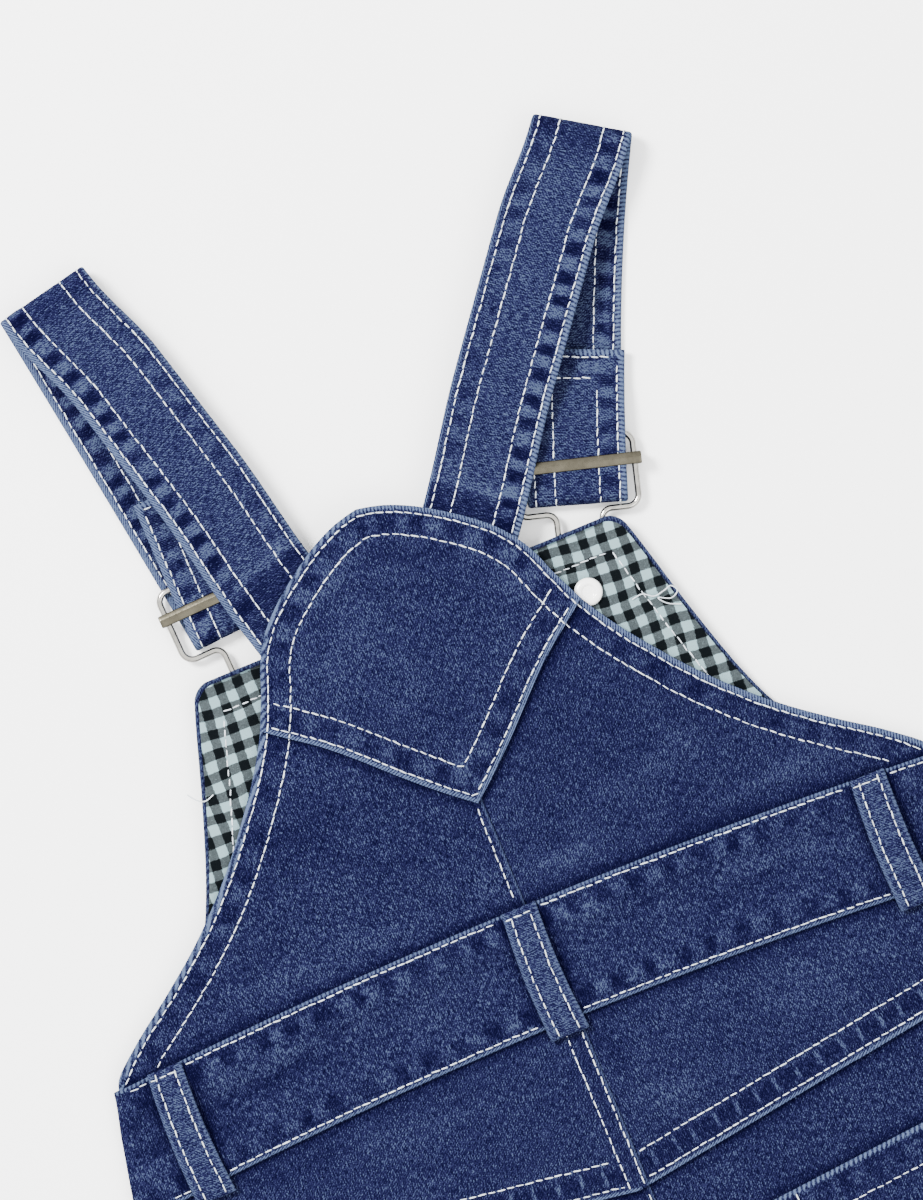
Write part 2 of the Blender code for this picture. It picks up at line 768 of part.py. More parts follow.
def make_buckle(name, strap, nickel):
    """The bent wire that hooks round the button, and the flat slide that grips the strap."""
    outline = rounded(
        (
            (FRAME_HALF, FRAME_TOP, FRAME_CORNER),
            (FRAME_HALF, FRAME_LOW, FRAME_CORNER),
            (NECK_HALF, FRAME_LOW, NECK_CORNER),
            (NECK_HALF, -NECK_HALF, NECK_HALF - 0.01),
            (-NECK_HALF, -NECK_HALF, NECK_HALF - 0.01),
            (-NECK_HALF, FRAME_LOW, NECK_CORNER),
            (-FRAME_HALF, FRAME_LOW, FRAME_CORNER),
            (-FRAME_HALF, FRAME_TOP, FRAME_CORNER),
        )
    )
    wire = bpy.data.curves.new(f"buckle_wire_{name}", "CURVE")
    wire.dimensions = "3D"
    wire.bevel_depth = WIRE / 2 * MM
    wire.bevel_resolution = 2
    line = wire.splines.new("POLY")
    line.use_cyclic_u = True
    line.points.add(len(outline) - 1)
    for point, place in zip(line.points, outline):
        point.co = (*(Vector((*place, WIRE_HEIGHT)) * MM), 1.0)
    add(f"buckle_wire_{name}", wire, nickel).matrix_world = buckle_place(strap)

    inside = FRAME_HALF + WIRE / 2 + GAP
    outside = inside + SLIDE_SHEET
    half_section = (
        (inside, SLIDE_TOP - SLIDE_SHEET),
        (inside, SLIDE_LOW + SLIDE_SHEET),
        (outside - SLIDE_LIP, SLIDE_LOW + SLIDE_SHEET),
        (outside - SLIDE_LIP, SLIDE_LOW),
        (outside, SLIDE_LOW),
        (outside, SLIDE_TOP),
    )
    section = [*half_section, *((-x, z) for x, z in reversed(half_section))]
    shape = bmesh.new()
    low_y = SLIDE_AT - SLIDE_DEPTH / 2
    profile = shape.faces.new([shape.verts.new(Vector((x, low_y, z)) * MM) for x, z in section])
    pulled = bmesh.ops.extrude_face_region(shape, geom=[profile])["geom"]
    moved = [v for v in pulled if isinstance(v, bmesh.types.BMVert)]
    bmesh.ops.translate(shape, verts=moved, vec=(0, SLIDE_DEPTH * MM, 0))
    bmesh.ops.recalc_face_normals(shape, faces=shape.faces)
    mesh = bpy.data.meshes.new(f"buckle_slide_{name}")
    shape.to_mesh(mesh)
    shape.free()
    add(f"buckle_slide_{name}", mesh, nickel).matrix_world = buckle_place(strap)


def make_button(name, strap, nickel, white):
    """The bib button under the front bib, and the round back that holds it from the lining side."""
    cap = BUTTON_RADIUS
    turned(
        f"bib_button_{name}",
        (
            (0, 0),
            (cap - 0.8, 0),
            (cap, 0.7),
            (cap - 0.5, BUTTON_THICK),
            (SHANK_RADIUS, BUTTON_THICK),
            (SHANK_RADIUS, FRONT_BIB_LIFT - GAP),
            (0, FRONT_BIB_LIFT - GAP),
        ),
        strap["button"],
        nickel,
    )
    low = FRONT_BIB_LIFT + LAYER + LINING + GAP
    turned(
        f"button_back_{name}",
        (
            (0, low),
            (TACK_RADIUS - 0.3, low),
            (TACK_RADIUS, low + 0.5),
            (TACK_RADIUS - 0.8, low + TACK_THICK - 0.2),
            (TACK_RADIUS * 0.55, low + TACK_THICK),
            (0, low + TACK_THICK - 0.2),
        ),
        strap["button"],
        white,
    )


def main():
    for old in list(bpy.data.objects):
        bpy.data.objects.remove(old)
    denim = material("denim", DENIM_BLUE, 0.85)
    webbing = material("strap denim", WEBBING_BLUE, 0.85)
    gingham = material("gingham", GINGHAM_GREY, 0.9)
    nickel = material("nickel", NICKEL, 0.28, 1.0)
    white = material("white plastic", SNAP_WHITE, 0.35)
    make_legs(denim)
    make_yokes(denim)
    make_back_pockets(denim)
    make_waistband(denim)
    make_belt_loops(denim)
    make_back_bib(denim)
    make_patch(denim)
    make_front_bib(denim, gingham)
    for name, strap in STRAPS.items():
        make_strap(f"strap_{name}", strap, webbing)
        make_buckle(name, strap, nickel)
        make_button(name, strap, nickel, white)

    # The hems and the shoulder ends of the straps are the garment's two ends.
    cloths = [piece for piece in bpy.data.objects if piece.name.startswith(("front_leg", "strap"))]
    ys = [point.co.y for piece in cloths for point in piece.data.vertices]
    garment = bpy.data.objects.new("garment", None)
    bpy.context.scene.collection.objects.link(garment)
    for piece in list(bpy.context.scene.objects):
        if piece is not garment:
            piece.parent = garment
    garment.location.y = -(min(ys) + max(ys)) / 2


main()
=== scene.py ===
"""Dresses the frame of a toddler's denim overalls, laid flat with the back uppermost.

Sizes are in millimetres about the middle of the waist, with Y towards the straps, until a piece is
made. A panel's rows of points are its outer face, and its wall is added behind them.
"""

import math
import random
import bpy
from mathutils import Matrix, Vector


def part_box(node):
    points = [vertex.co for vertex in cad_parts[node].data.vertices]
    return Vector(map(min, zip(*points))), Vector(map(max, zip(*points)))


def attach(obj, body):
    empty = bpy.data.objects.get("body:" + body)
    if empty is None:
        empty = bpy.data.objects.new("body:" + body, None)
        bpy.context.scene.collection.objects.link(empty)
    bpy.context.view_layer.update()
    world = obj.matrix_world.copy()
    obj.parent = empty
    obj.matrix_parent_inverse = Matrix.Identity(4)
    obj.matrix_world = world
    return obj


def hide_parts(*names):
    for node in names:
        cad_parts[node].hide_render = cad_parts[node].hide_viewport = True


bl_info = {
    "name": "Denim Overalls",
    "version": (1, 0, 0),
    "blender": (4, 5, 0),
    "location": "3D View > Sidebar > Overalls",
    "description": "Makes the cloth, sewing and metalwork of a pair of denim overalls laid flat",
    "category": "Object",
}

import bmesh
import bpy
import numpy as np
from bpy.props import FloatProperty, FloatVectorProperty, PointerProperty
from mathutils import Matrix, Vector, noise

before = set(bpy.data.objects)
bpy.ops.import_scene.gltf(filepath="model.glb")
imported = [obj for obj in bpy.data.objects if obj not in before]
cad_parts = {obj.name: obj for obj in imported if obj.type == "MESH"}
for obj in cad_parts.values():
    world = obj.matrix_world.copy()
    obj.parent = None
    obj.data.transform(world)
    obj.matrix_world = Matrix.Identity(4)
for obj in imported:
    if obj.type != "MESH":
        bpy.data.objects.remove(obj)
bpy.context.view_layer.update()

MM = 0.001
HEM_Y = -450.0
# How far along Y the middle of the waist lies from the frame's origin
WAIST_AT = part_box("front_leg_right")[0][1] / MM - HEM_Y

DENIM = 1.2
LINING = 1.0
STRAP_WALL = 2.0
GAP = 0.3
LAYER = DENIM + GAP
LAP = 8.0
# How far the left half laps over the right one at the middle of the bib and of the seat, how far its
# edge lies over the face there, and how far the right half's edge lies under it
BIB_LAP = 1.5
SEAT_LAP = 3.7
LAP_OVER = 0.45
LAP_UNDER = 0.30

BACK_HEIGHT = 5.2
BACK_CROWN = 0.8
BACK_BIB_HEIGHT = 10.4
FRONT_BIB_LIFT = 4.6
BACK_JOIN = 2.7
FRONT_JOIN = BACK_JOIN - GAP
BACK_ROUND = 4.0
FRONT_ROUND = 3.0

CROTCH_Y = -195.0
CROTCH_EASE = 18.0
# Half the body's width, each row (y, half width)
SIDE_SEAM = (
    (150.0, 137.0),
    (2.0, 137.0),
    (-15.0, 140.5),
    (-34.0, 144.5),
    (-70.0, 151.0),
    (-120.0, 155.5),
    (-200.0, 157.0),
    (-300.0, 155.0),
    (HEM_Y, 151.0),
)
# The leg's inner edge below the crotch, each row (y, distance from the middle)
INSEAM = (
    (CROTCH_Y, GAP / 2),
    (-204.0, 3.5),
    (-218.0, 8.5),
    (-250.0, 16.0),
    (-320.0, 25.0),
    (HEM_Y, 35.0),
)
# Soft folds of the legs, each row (x, y, direction in degrees, length, half width, height)
LEG_FOLDS = (
    (22.0, -212.0, 62.0, 60.0, 9.0, -1.1),
    (40.0, -226.0, 38.0, 70.0, 8.0, 0.5),
    (52.0, -250.0, 24.0, 66.0, 10.0, -0.9),
    (96.0, -318.0, -12.0, 92.0, 11.0, -1.0),
    (78.0, -346.0, 9.0, 84.0, 9.0, 0.4),
    (104.0, -398.0, -16.0, 70.0, 10.0, -0.8),
    (118.0, -262.0, -48.0, 60.0, 9.0, -0.7),
)

BAND_TOP_Y = 4.5
BAND_TOP_DROP = 5.0
BAND_BOTTOM_Y = -33.4
BAND_BOTTOM_DROP = 6.4
BAND_SAG = 1.1
BAND_HALF_WIDTH = 138.0
LOOPS = (("left", -121.0), ("centre", -1.0), ("right", 114.0))
LOOP_WIDTH = 12.0
LOOP_WALL = 1.8
LOOP_BELOW_BAND = 4.2

# Back bib: its armhole edge from the waist up, each row (x, y)
ARMHOLE = (
    (136.4, 1.4),
    (126.0, 11.0),
    (112.0, 21.0),
    (99.0, 31.0),
    (88.0, 41.0),
    (78.0, 51.5),
    (69.0, 62.5),
    (60.5, 74.0),
    (53.5, 85.5),
    (48.5, 97.0),
    (46.0, 110.0),
)
# Where the armhole edge starts under the waistband, and where it ends under the patch
ARMHOLE_START = (135.6, -6.8)
ARMHOLE_END_X = 50.2
BACK_BIB_RISE = (8.0, 78.0)
PATCH_TIP_Y = 39.0
PATCH_TOP_Y = 137.35
PATCH_SEAM_END = (53.5, 85.5)
# The patch's upper edge, from its middle to the right shoulder, each row (x, y)
PATCH_TOP = (
    (1.6, 137.1),
    (9.5, 134.9),
    (19.0, 130.2),
    (31.0, 121.9),
    (39.0, 114.6),
    (44.0, 107.6),
    (46.6, 102.0),
    (48.6, 96.5),
)

# The patch's lower edge, from its point to the right armhole, each row (x, y)
PATCH_SEAM = (
    (0.0, 39.2),
    (10.0, 47.6),
    (20.0, 56.9),
    (29.0, 65.8),
    (38.0, 73.9),
    (46.0, 79.9),
    (53.5, 85.5),
)
# Creases of the back above the legs, each row (x, y, direction in degrees, length, half width, height)
CREASES = (
    (-95.8, -16.5, 4.0, 42.0, 2.6, -0.55),
    (-91.7, -10.6, 4.0, 40.0, 2.8, 0.40),
    (-108.8, -24.5, -11.9, 17.0, 2.2, -0.45),
    (-131.0, -10.1, 2.0, 14.0, 2.6, -0.50),
    (-134.0, -21.7, 3.5, 13.0, 2.2, -0.50),
    (-135.0, -27.0, 6.0, 13.0, 2.4, 0.35),
    (19.5, -5.4, -4.1, 18.0, 2.6, 0.40),
    (33.3, -6.0, -29.6, 13.0, 2.2, -0.40),
    (53.6, -6.4, -7.0, 18.0, 2.2, -0.35),
    (73.6, -11.5, -3.0, 27.0, 2.4, 0.35),
    (66.0, -17.5, 4.0, 30.0, 2.4, -0.25),
    (96.0, -15.0, -12.0, 24.0, 2.6, 0.30),
    (10.9, 117.5, -20.9, 30.0, 3.4, -0.35),
    (-14.3, 121.0, 30.0, 20.0, 3.0, 0.40),
    (36.2, 98.3, 60.0, 9.0, 3.0, 0.40),
    (0.6, 51.6, 22.0, 9.0, 4.2, 0.55),
    (-18.7, 99.5, 34.0, 30.0, 6.0, 0.25),
    (22.0, 96.0, -50.0, 26.0, 5.0, -0.20),
    (18.0, 13.2, -2.9, 26.0, 2.8, 0.45),
    (-81.4, 11.8, -1.0, 36.0, 2.8, 0.35),
    (-43.5, 12.4, -6.9, 32.0, 3.2, 0.25),
    (-7.4, 15.7, 70.0, 11.0, 4.0, 0.45),
    (-51.3, 50.3, 11.1, 28.0, 7.0, -0.25),
    (49.1, 28.3, 12.0, 44.0, 4.0, 0.25),
    (88.0, 11.5, 4.0, 40.0, 3.0, 0.35),
    (70.0, 6.5, 2.0, 60.0, 1.8, -0.30),
    (8.5, -46.0, -67.6, 16.0, 4.0, -0.35),
    (20.0, -66.3, -6.0, 22.0, 4.0, 0.40),
    (-63.8, -47.5, -3.3, 40.0, 5.0, 0.25),
    (-94.7, -44.0, -3.1, 36.0, 3.0, -0.30),
    (78.0, -52.0, 8.0, 50.0, 6.0, 0.20),
)

YOKE_MIDDLE_Y = -90.3
YOKE_SLOPE = 0.15
POCKET_TOP_INNER = (36.0, -109.0)
POCKET_TOP_OUTER = (126.0, -101.3)
POCKET_LOW_INNER = (41.0, -186.0)
POCKET_LOW_OUTER = (121.5, -181.0)
POCKET_POINT = (82.0, -203.0)
POCKET_SEWN = (POCKET_TOP_INNER, POCKET_LOW_INNER, POCKET_POINT, POCKET_LOW_OUTER, POCKET_TOP_OUTER)

FRONT_BIB_TOP_Y = 106.0
FRONT_BIB_SHIFT = 3.3
FRONT_BIB_RISE = (12.0, 68.0)
LINING_INSET = 1.4
BIB_CORNER = 4.5
# Half the front bib's width, each row (y, half width)
FRONT_BIB_EDGE = (
    (FRONT_BIB_TOP_Y, 70.7),
    (95.0, 74.3),
    (68.0, 82.2),
    (43.0, 90.8),
    (28.0, 98.5),
    (17.0, 110.0),
    (8.0, 124.0),
    (0.5, 136.2),
)

STRAP_WIDTH = 31.0
STRAP_TUCK = 12.0
SHOULDER_RADIUS = 4.2
STRAP_ARCH = 1.0
STRAP_TAIL = 45.0
BUCKLE_RADIUS = 2.3
TAIL_LIES = 2.3
TAIL_DROP = (21.0, 40.0)
# Angles are degrees to the right of +Y. upper, fold and buckle are the directions of the strap, of the
# line square to its fold and of its buckle, and second_fold is how far its fold in the buckle is askew.
# bend is how sharply its lower layer turns in the plane, and slip is how far the hook is pulled along.
# bow is how far the upper layer bows to its right, and outside is the side away from the garment's middle.
STRAPS = {
    "left": {
        "base": (-33.3, 121.6),
        "upper": -15.2,
        "upper_length": 113.6,
        "fold": -11.99,
        "lower_length": 112.1,
        "bend": -0.00012,
        "second_fold": 3.5,
        "button": (-46.8, 87.2),
        "slip": 2.2,
        "buckle": -2.0,
        "bow": 2.9,
        "outside": -1,
    },
    "right": {
        "base": (31.6, 119.7),
        "upper": 37.9,
        "upper_length": 123.1,
        "fold": 33.15,
        "lower_length": 109.8,
        "bend": 0.00165,
        "second_fold": 0.6,
        "button": (56.4, 86.4),
        "slip": 0.0,
        "buckle": 16.0,
        "bow": -2.3,
        "outside": 1,
    },
}

WIRE = 2.0
WIRE_HEIGHT = 3.3
FRAME_HALF = 19.0
FRAME_LOW = 25.0
FRAME_TOP = 47.8
FRAME_CORNER = 3.6
NECK_HALF = 7.1
NECK_CORNER = 3.0
SLIDE_AT = 39.6
SLIDE_DEPTH = 3.8
SLIDE_SHEET = 0.8
SLIDE_TOP = 7.7
SLIDE_LOW = 1.2
SLIDE_LIP = 2.7
# How high the slide's ridge stands over its edges, and how far off its middle
SLIDE_RIDGE = 0.6
SLIDE_RIDGE_OFF = 0.4
BUTTON_RADIUS = 8.5
BUTTON_THICK = 2.0
SHANK_RADIUS = 2.6
TACK_RADIUS = 4.4
TACK_THICK = 1.5

# Loose ends of thread on the lining, each row (x, y, height over the lining)
LOOSE_THREADS = (
    (
        "loose_thread_right",
        (
            (68.0, 79.0, 0.1),
            (71.5, 79.4, 0.4),
            (74.6, 77.4, 0.6),
            (78.2, 77.9, 1.0),
            (80.6, 78.5, 1.4),
            (81.9, 76.3, 1.2),
            (79.2, 74.9, 0.9),
            (75.5, 76.6, 0.7),
            (77.5, 73.9, 0.5),
            (81.5, 71.9, 0.2),
        ),
    ),
    (
        "loose_thread_left",
        ((-74.5, 73.0, 0.0), (-77.5, 72.1, 0.2), (-79.9, 73.4, 0.1), (-82.0, 76.1, -0.4)),
    ),
)

# Distances of the two rows of sewing from a folded edge
FIRST_ROW = 2.2
SECOND_ROW = 9.1
# The ditch that a row of sewing pulls into the cloth, and how far the cloth puckers between the rows
DITCH_WIDTH = 0.8
DITCH_DEPTH = 0.12
PUCKER_RISE = 0.26
# How much paler the top of a crease and how much darker its trough are painted, and how much darker the
# painted shadow makes the cloth beside an edge that covers it
CREASE_SHADING = 0.34
COVER_SHADE = 0.34
COVER_REACH = 2.4
# How each kind of sewn edge has aged and puckered: (width of its worn line, how worn it is, how strongly it
# puckers, with painted light on the puckers' ridges and painted shade in their hollows, or below nought how
# strongly it streaks, with painted shade and a painted highlight on each pucker, the puckers' length, how far
# from the edge they lie)
EDGES = {
    "armhole": (1.8, 1.2, 0.34, 12.5, 5.6),
    "patch": (1.4, 1.05, 0.46, 12.0, 5.6),
    "band": (1.0, 0.85, 0.55, 10.5, 5.8),
    "yoke": (1.1, 1.0, -0.72, 7.4, 6.3),
    "pocket": (1.6, 1.1, 0.45, 9.0, 5.0),
    "loop": (1.1, 0.50, 0.12, 9.0, 6.0),
    "strap outside": (2.0, 1.35, 0.95, 8.0, 5.4),
    "strap inside": (0.9, 0.75, 0.30, 9.5, 5.4),
    "bib": (0.9, 0.35, 0.25, 9.0, 5.0),
    "fell": (0.8, 0.40, 0.0, 9.0, 7.0),
    "hem": (1.2, 0.7, 0.5, 9.0, 7.0),
}
# Spacing of the rows of points on the legs and on the seat
LEG_GRID = 5.0
SEAT_GRID = 2.4

# The photograph's frame: the place under its middle, its height there and how far it is turned
VIEW_MIDDLE = (19.3, 99.1)
VIEW_HEIGHT = 372.0
VIEW_TURN = 22.57
# The floor's side and how far it lies below the cloth, in metres
FLOOR_SIZE = 6.0
FLOOR_BELOW = 0.0003
# The even light, each row (how steeply it falls, its colour)
SKY_SHADES = (
    (0.0, (0.10, 0.10, 0.11)),
    (0.30, (0.35, 0.35, 0.36)),
    (0.66, (1, 1, 1)),
    (1.0, (1, 1, 1)),
)
# Lamps, each row (name, place in the photograph's own directions in metres, size, share of the key)
LAMPS = (
    ("key", (-0.95, 0.55, 1.35), 0.55, 1.0),
    ("fill", (0.9, -0.7, 1.5), 1.4, 0.22),
)


class OverallsCloth(bpy.types.PropertyGroup):
    """Sizes and colours of the cloth."""

    grid: FloatProperty(
        name="Grid", description="Spacing of a panel's points where they show", default=1.3, min=0.8
    )
    twill: FloatProperty(
        name="Twill", description="Width of one twill line, in millimetres", default=0.72, min=0.2
    )
    check: FloatProperty(
        name="Check", description="Side of one gingham check, in millimetres", default=3.175, min=1.0
    )
    indigo: FloatVectorProperty(
        name="Indigo", description="Colour of the unworn denim", subtype="COLOR",
        default=(0.0047, 0.0050, 0.0200), min=0, max=1,
    )
    worn: FloatVectorProperty(
        name="Worn", description="Colour of the denim where it is worn", subtype="COLOR",
        default=(0.050, 0.069, 0.122), min=0, max=1,
    )


class OverallsSewing(bpy.types.PropertyGroup):
    """Sizes and colour of the sewing."""

    pitch: FloatProperty(
        name="Pitch", description="Length from one stitch to the next, in millimetres", default=3.0, min=1.0
    )
    stitch: FloatProperty(
        name="Stitch", description="Length of the thread that shows in a stitch, in millimetres",
        default=2.65, min=0.5,
    )
    thread: FloatProperty(
        name="Thread", description="Width of the thread, in millimetres", default=0.43, min=0.1
    )
    colour: FloatVectorProperty(
        name="Colour", description="Colour of the thread", subtype="COLOR",
        default=(0.60, 0.65, 0.70), min=0, max=1,
    )


class OverallsStage(bpy.types.PropertyGroup):
    """The light and the camera."""

    key: FloatProperty(name="Key light", description="Power of the main light", default=99.0, subtype="POWER")
    sky: FloatProperty(name="Sky", description="Strength of the even light", default=3.5, min=0)
    height: FloatProperty(
        name="Camera height", description="Height of the camera", default=1.6, subtype="DISTANCE"
    )


# Curves and tables


def ease(value, start, end):
    """0 before start, 1 after end, and smooth between them."""
    share = min(1.0, max(0.0, (value - start) / (end - start)))
    return share * share * (3 - 2 * share)


def read(table, at):
    """The second column's value where a smooth curve through the table's rows passes at."""
    rows = sorted(table)
    if at <= rows[0][0]:
        return rows[0][1]
    if at >= rows[-1][0]:
        return rows[-1][1]
    low = max(i for i in range(len(rows) - 1) if rows[i][0] <= at)

    def slope(i):
        before, after = rows[max(i - 1, 0)], rows[min(i + 1, len(rows) - 1)]
        return (after[1] - before[1]) / (after[0] - before[0])

    (x0, v0), (x1, v1) = rows[low], rows[low + 1]
    span = x1 - x0
    t = (at - x0) / span
    return (
        (2 * t**3 - 3 * t**2 + 1) * v0
        + (t**3 - 2 * t**2 + t) * span * slope(low)
        + (3 * t**2 - 2 * t**3) * v1
        + (t**3 - t**2) * span * slope(low + 1)
    )


def evenly(points, count):
    """count points, evenly spaced along the line through these points."""
    points = np.array(points, float)
    steps = np.linalg.norm(np.diff(points, axis=0), axis=1)
    lengths = np.concatenate([[0.0], np.cumsum(steps)])
    at = np.linspace(0.0, lengths[-1], count)
    return np.stack([np.interp(at, lengths, column) for column in points.T], axis=1)


def curve(points, count, steps=12):
    """count points, evenly spaced along a smooth curve through these points."""
    points = np.array(points, float)
    fine = []
    for i in range(len(points) - 1):
        p0, p1 = points[max(i - 1, 0)], points[i]
        p2, p3 = points[i + 1], points[min(i + 2, len(points) - 1)]
        for k in range(steps):
            t = k / steps
            fine.append(
                0.5
                * (
                    2 * p1
                    + (p2 - p0) * t
                    + (2 * p0 - 5 * p1 + 4 * p2 - p3) * t**2
                    + (3 * p1 - p0 - 3 * p2 + p3) * t**3
                )
            )
    return evenly([*fine, points[-1]], count)


def coons(bottom, top, left, right):
    """Rows of points, from the bottom edge up, of a patch that fills these four edges."""
    u = np.linspace(0, 1, len(bottom))[None, :, None]
    v = np.linspace(0, 1, len(left))[:, None, None]
    bottom, top = bottom[None], top[None]
    left, right = left[:, None], right[:, None]
    corners = (
        (1 - u) * (1 - v) * bottom[:, :1]
        + u * (1 - v) * bottom[:, -1:]
        + (1 - u) * v * top[:, :1]
        + u * v * top[:, -1:]
    )
    return (1 - u) * left + u * right + (1 - v) * bottom + v * top - corners


def mirrored(rows):
    """The same rows on the other side, still running from -X to +X."""
    rows = np.array(rows)[:, ::-1].copy()
    rows[..., 0] *= -1
    return rows


def flipped(line):
    """The same line on the other side."""
    line = np.array(line, float)
    line[:, 0] *= -1
    return line


def beside(line, distance):
    """The line moved to its left by that distance, with its corners kept sharp."""
    line = np.array(line, float)
    ways = np.diff(line, axis=0)
    ways /= np.linalg.norm(ways, axis=1)[:, None]
    normals = np.stack([-ways[:, 1], ways[:, 0]], axis=1)
    before = np.concatenate([normals[:1], normals])
    after = np.concatenate([normals, normals[-1:]])
    middle = before + after
    reach = 2 / np.maximum((middle**2).sum(axis=1), 0.6)
    return line + middle * (reach * distance)[:, None]


def nearest(places, line):
    """(distance, length along the line) of the nearest point of the line to each place."""
    places = places.reshape(-1, 2)
    a, b = line[:-1], line[1:]
    way = b - a
    length = np.linalg.norm(way, axis=1)
    start = np.concatenate([[0.0], np.cumsum(length)[:-1]])
    best = np.full(len(places), 1e9)
    run = np.zeros(len(places))
    for p, w, size, s in zip(a, way, length, start):
        t = np.clip(((places - p) @ w) / size**2, 0, 1)
        away = np.linalg.norm(places - p - t[:, None] * w, axis=1)
        closer = away < best
        best[closer] = away[closer]
        run[closer] = (s + t * size)[closer]
    return best, run


# The garment's outline and heights


def band_top(x):
    return BAND_TOP_Y - BAND_TOP_DROP * (x / BAND_HALF_WIDTH) ** 2


def band_bottom(x):
    return BAND_BOTTOM_Y - BAND_BOTTOM_DROP * (x / BAND_HALF_WIDTH) ** 2


def yoke_edge(x):
    return YOKE_MIDDLE_Y + YOKE_SLOPE * abs(x)


def bulge(distance, radius):
    """0 at a rounded edge and 1 beyond its radius, along a quarter of an ellipse."""
    share = min(1.0, max(0.0, distance / radius))
    return math.sqrt(1 - (1 - share) ** 2)


def edge_share(x, y, radius, layer):
    """How far the face at that place has come round from the side seam and the inseam."""
    side = bulge(read(SIDE_SEAM, y) + layer - abs(x), radius)
    below = ease(CROTCH_Y - y, 0.0, CROTCH_EASE)
    inner = bulge(abs(x) - read(INSEAM, y), radius) if y < CROTCH_Y else 1.0
    return side * (1 - below + below * inner)


def leg_fold(x, y):
    """The height of the soft folds at that place of a leg."""
    total = 0.0
    if y > -150.0:
        return total
    for fold_x, fold_y, turn, length, half_width, height in LEG_FOLDS:
        away = Vector((abs(x) - fold_x, y - fold_y))
        direction = Vector((math.cos(math.radians(turn)), math.sin(math.radians(turn))))
        lengthwise = away.dot(direction) / (length / 2)
        across = away.cross(direction) / half_width
        total += height * math.exp(-(across**2) - lengthwise**4)
    return total


def crease(x, y):
    """The height of the creases at that place of the back above the legs."""
    total = 0.0
    if y < -75.0:
        return total
    for crease_x, crease_y, turn, length, half_width, height in CREASES:
        away_x, away_y = x - crease_x, y - crease_y
        if abs(away_x) + abs(away_y) > length + 3 * half_width:
            continue
        turn = math.radians(turn + 5.0 * math.sin(away_x / 6.0))
        lengthwise = (away_x * math.cos(turn) + away_y * math.sin(turn)) / (length / 2)
        across = (away_y * math.cos(turn) - away_x * math.sin(turn)) / half_width
        total += height * math.exp(-(across**2) - lengthwise**4)
    return total


def lie(x, y):
    """How unevenly the back lies, the same for every layer of it."""
    place = Vector((x / 34.0 + 3.1, y / 34.0 + 7.7, 0.4))
    small = Vector((x / 13.0 + 1.3, y / 13.0 + 2.7, 5.4))
    return 0.40 * noise.noise(place) + 0.13 * noise.noise(small) + 0.75 * crease(x, y)


def back_face(x, y, layer=0.0):
    """The height of a back panel's outer face that lies layer above the lowest back panel."""
    crown = BACK_CROWN * (1 - (x / read(SIDE_SEAM, y)) ** 2)
    middle = BACK_HEIGHT + crown + leg_fold(x, y)
    top = middle + (BACK_BIB_HEIGHT - middle) * ease(y, *BACK_BIB_RISE) + lie(x, y)
    share = edge_share(x, y, BACK_ROUND + layer, layer)
    return BACK_JOIN + (top + layer - BACK_JOIN) * share


def front_face(x, y, layer=0.0):
    """The height of a front panel's outer face, its underside."""
    return FRONT_JOIN * (1 - edge_share(x, y, FRONT_ROUND + layer, layer))


def front_bib_underside(x, y):
    return FRONT_BIB_LIFT * ease(y, *FRONT_BIB_RISE)


def lining_top(x, y):
    return front_bib_underside(x, y) + LAYER + LINING


def between(inner, outer, count, round_outer=0.0, round_inner=0.0):
    """x values from inner to outer, with more of them round the edges that are rounded."""
    shares = [1 - math.cos(math.radians(11.25 * k)) for k in range(9)]
    first = [inner + round_inner * share for share in shares] if round_inner else [inner]
    last = [outer - round_outer * share for share in reversed(shares)] if round_outer else [outer]
    start, end = first[-1], last[0]
    middle = [start + (end - start) * k / (count + 1) for k in range(1, count + 1)]
    return first + middle + last


# Making cloth


def tangents(grid):
    """The way that each column of the grid runs at each of its points."""
    ways = grid[2:] - grid[:-2]
    ways /= np.linalg.norm(ways, axis=-1, keepdims=True)

    def end(edge, following, way):
        chord = following - edge
        chord /= np.linalg.norm(chord, axis=-1, keepdims=True)
        return 2 * chord - way

    first = end(grid[0], grid[1], ways[0])
    last = -end(grid[-1], grid[-2], -ways[-1])
    ways = np.concatenate([first[None], ways, last[None]])
    return ways / np.linalg.norm(ways, axis=-1, keepdims=True)


def new_object(name, points, faces, values=None, finish=None):
    """A smooth mesh object in the frame's metres. values are its point attributes, by name."""
    points = np.asarray(points, float).reshape(-1, 3) * MM + np.array([0, WAIST_AT * MM, 0])
    mesh = bpy.data.meshes.new(name)
    mesh.from_pydata(points.tolist(), [], faces)
    for key, rows in (values or {}).items():
        layer = mesh.attributes.new(key, "FLOAT_VECTOR", "POINT")
        layer.data.foreach_set("vector", np.asarray(rows, np.float32).ravel())
    mesh.shade_smooth()
    piece = bpy.data.objects.new(name, mesh)
    bpy.context.scene.collection.objects.link(piece)
    if finish:
        mesh.materials.append(finish)
    return piece


def settle(piece, node=None):
    """Hangs the piece under the root body and hides the CAD part that it stands for."""
    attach(piece, "root")
    if node:
        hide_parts(node)
    return piece


def apply_modifiers(piece):
    bpy.ops.object.select_all(action="DESELECT")
    piece.select_set(True)
    bpy.context.view_layer.objects.active = piece
    for modifier in list(piece.modifiers):
        bpy.ops.object.modifier_apply(modifier=modifier.name)
    piece.select_set(False)


def wear(kind, distance, run):
    """The seam and rub attributes at that distance from an edge of this kind, run along it."""
    reach, worn, strength, length, middle = EDGES[kind]
    window = strength * np.exp(-(((distance - middle) / 2.5) ** 4))
    full = np.ones_like(distance)
    seam = np.stack([distance, run * math.tau / length, reach * full], axis=1)
    return seam, np.stack([worn * full, window, 0 * full], axis=1)


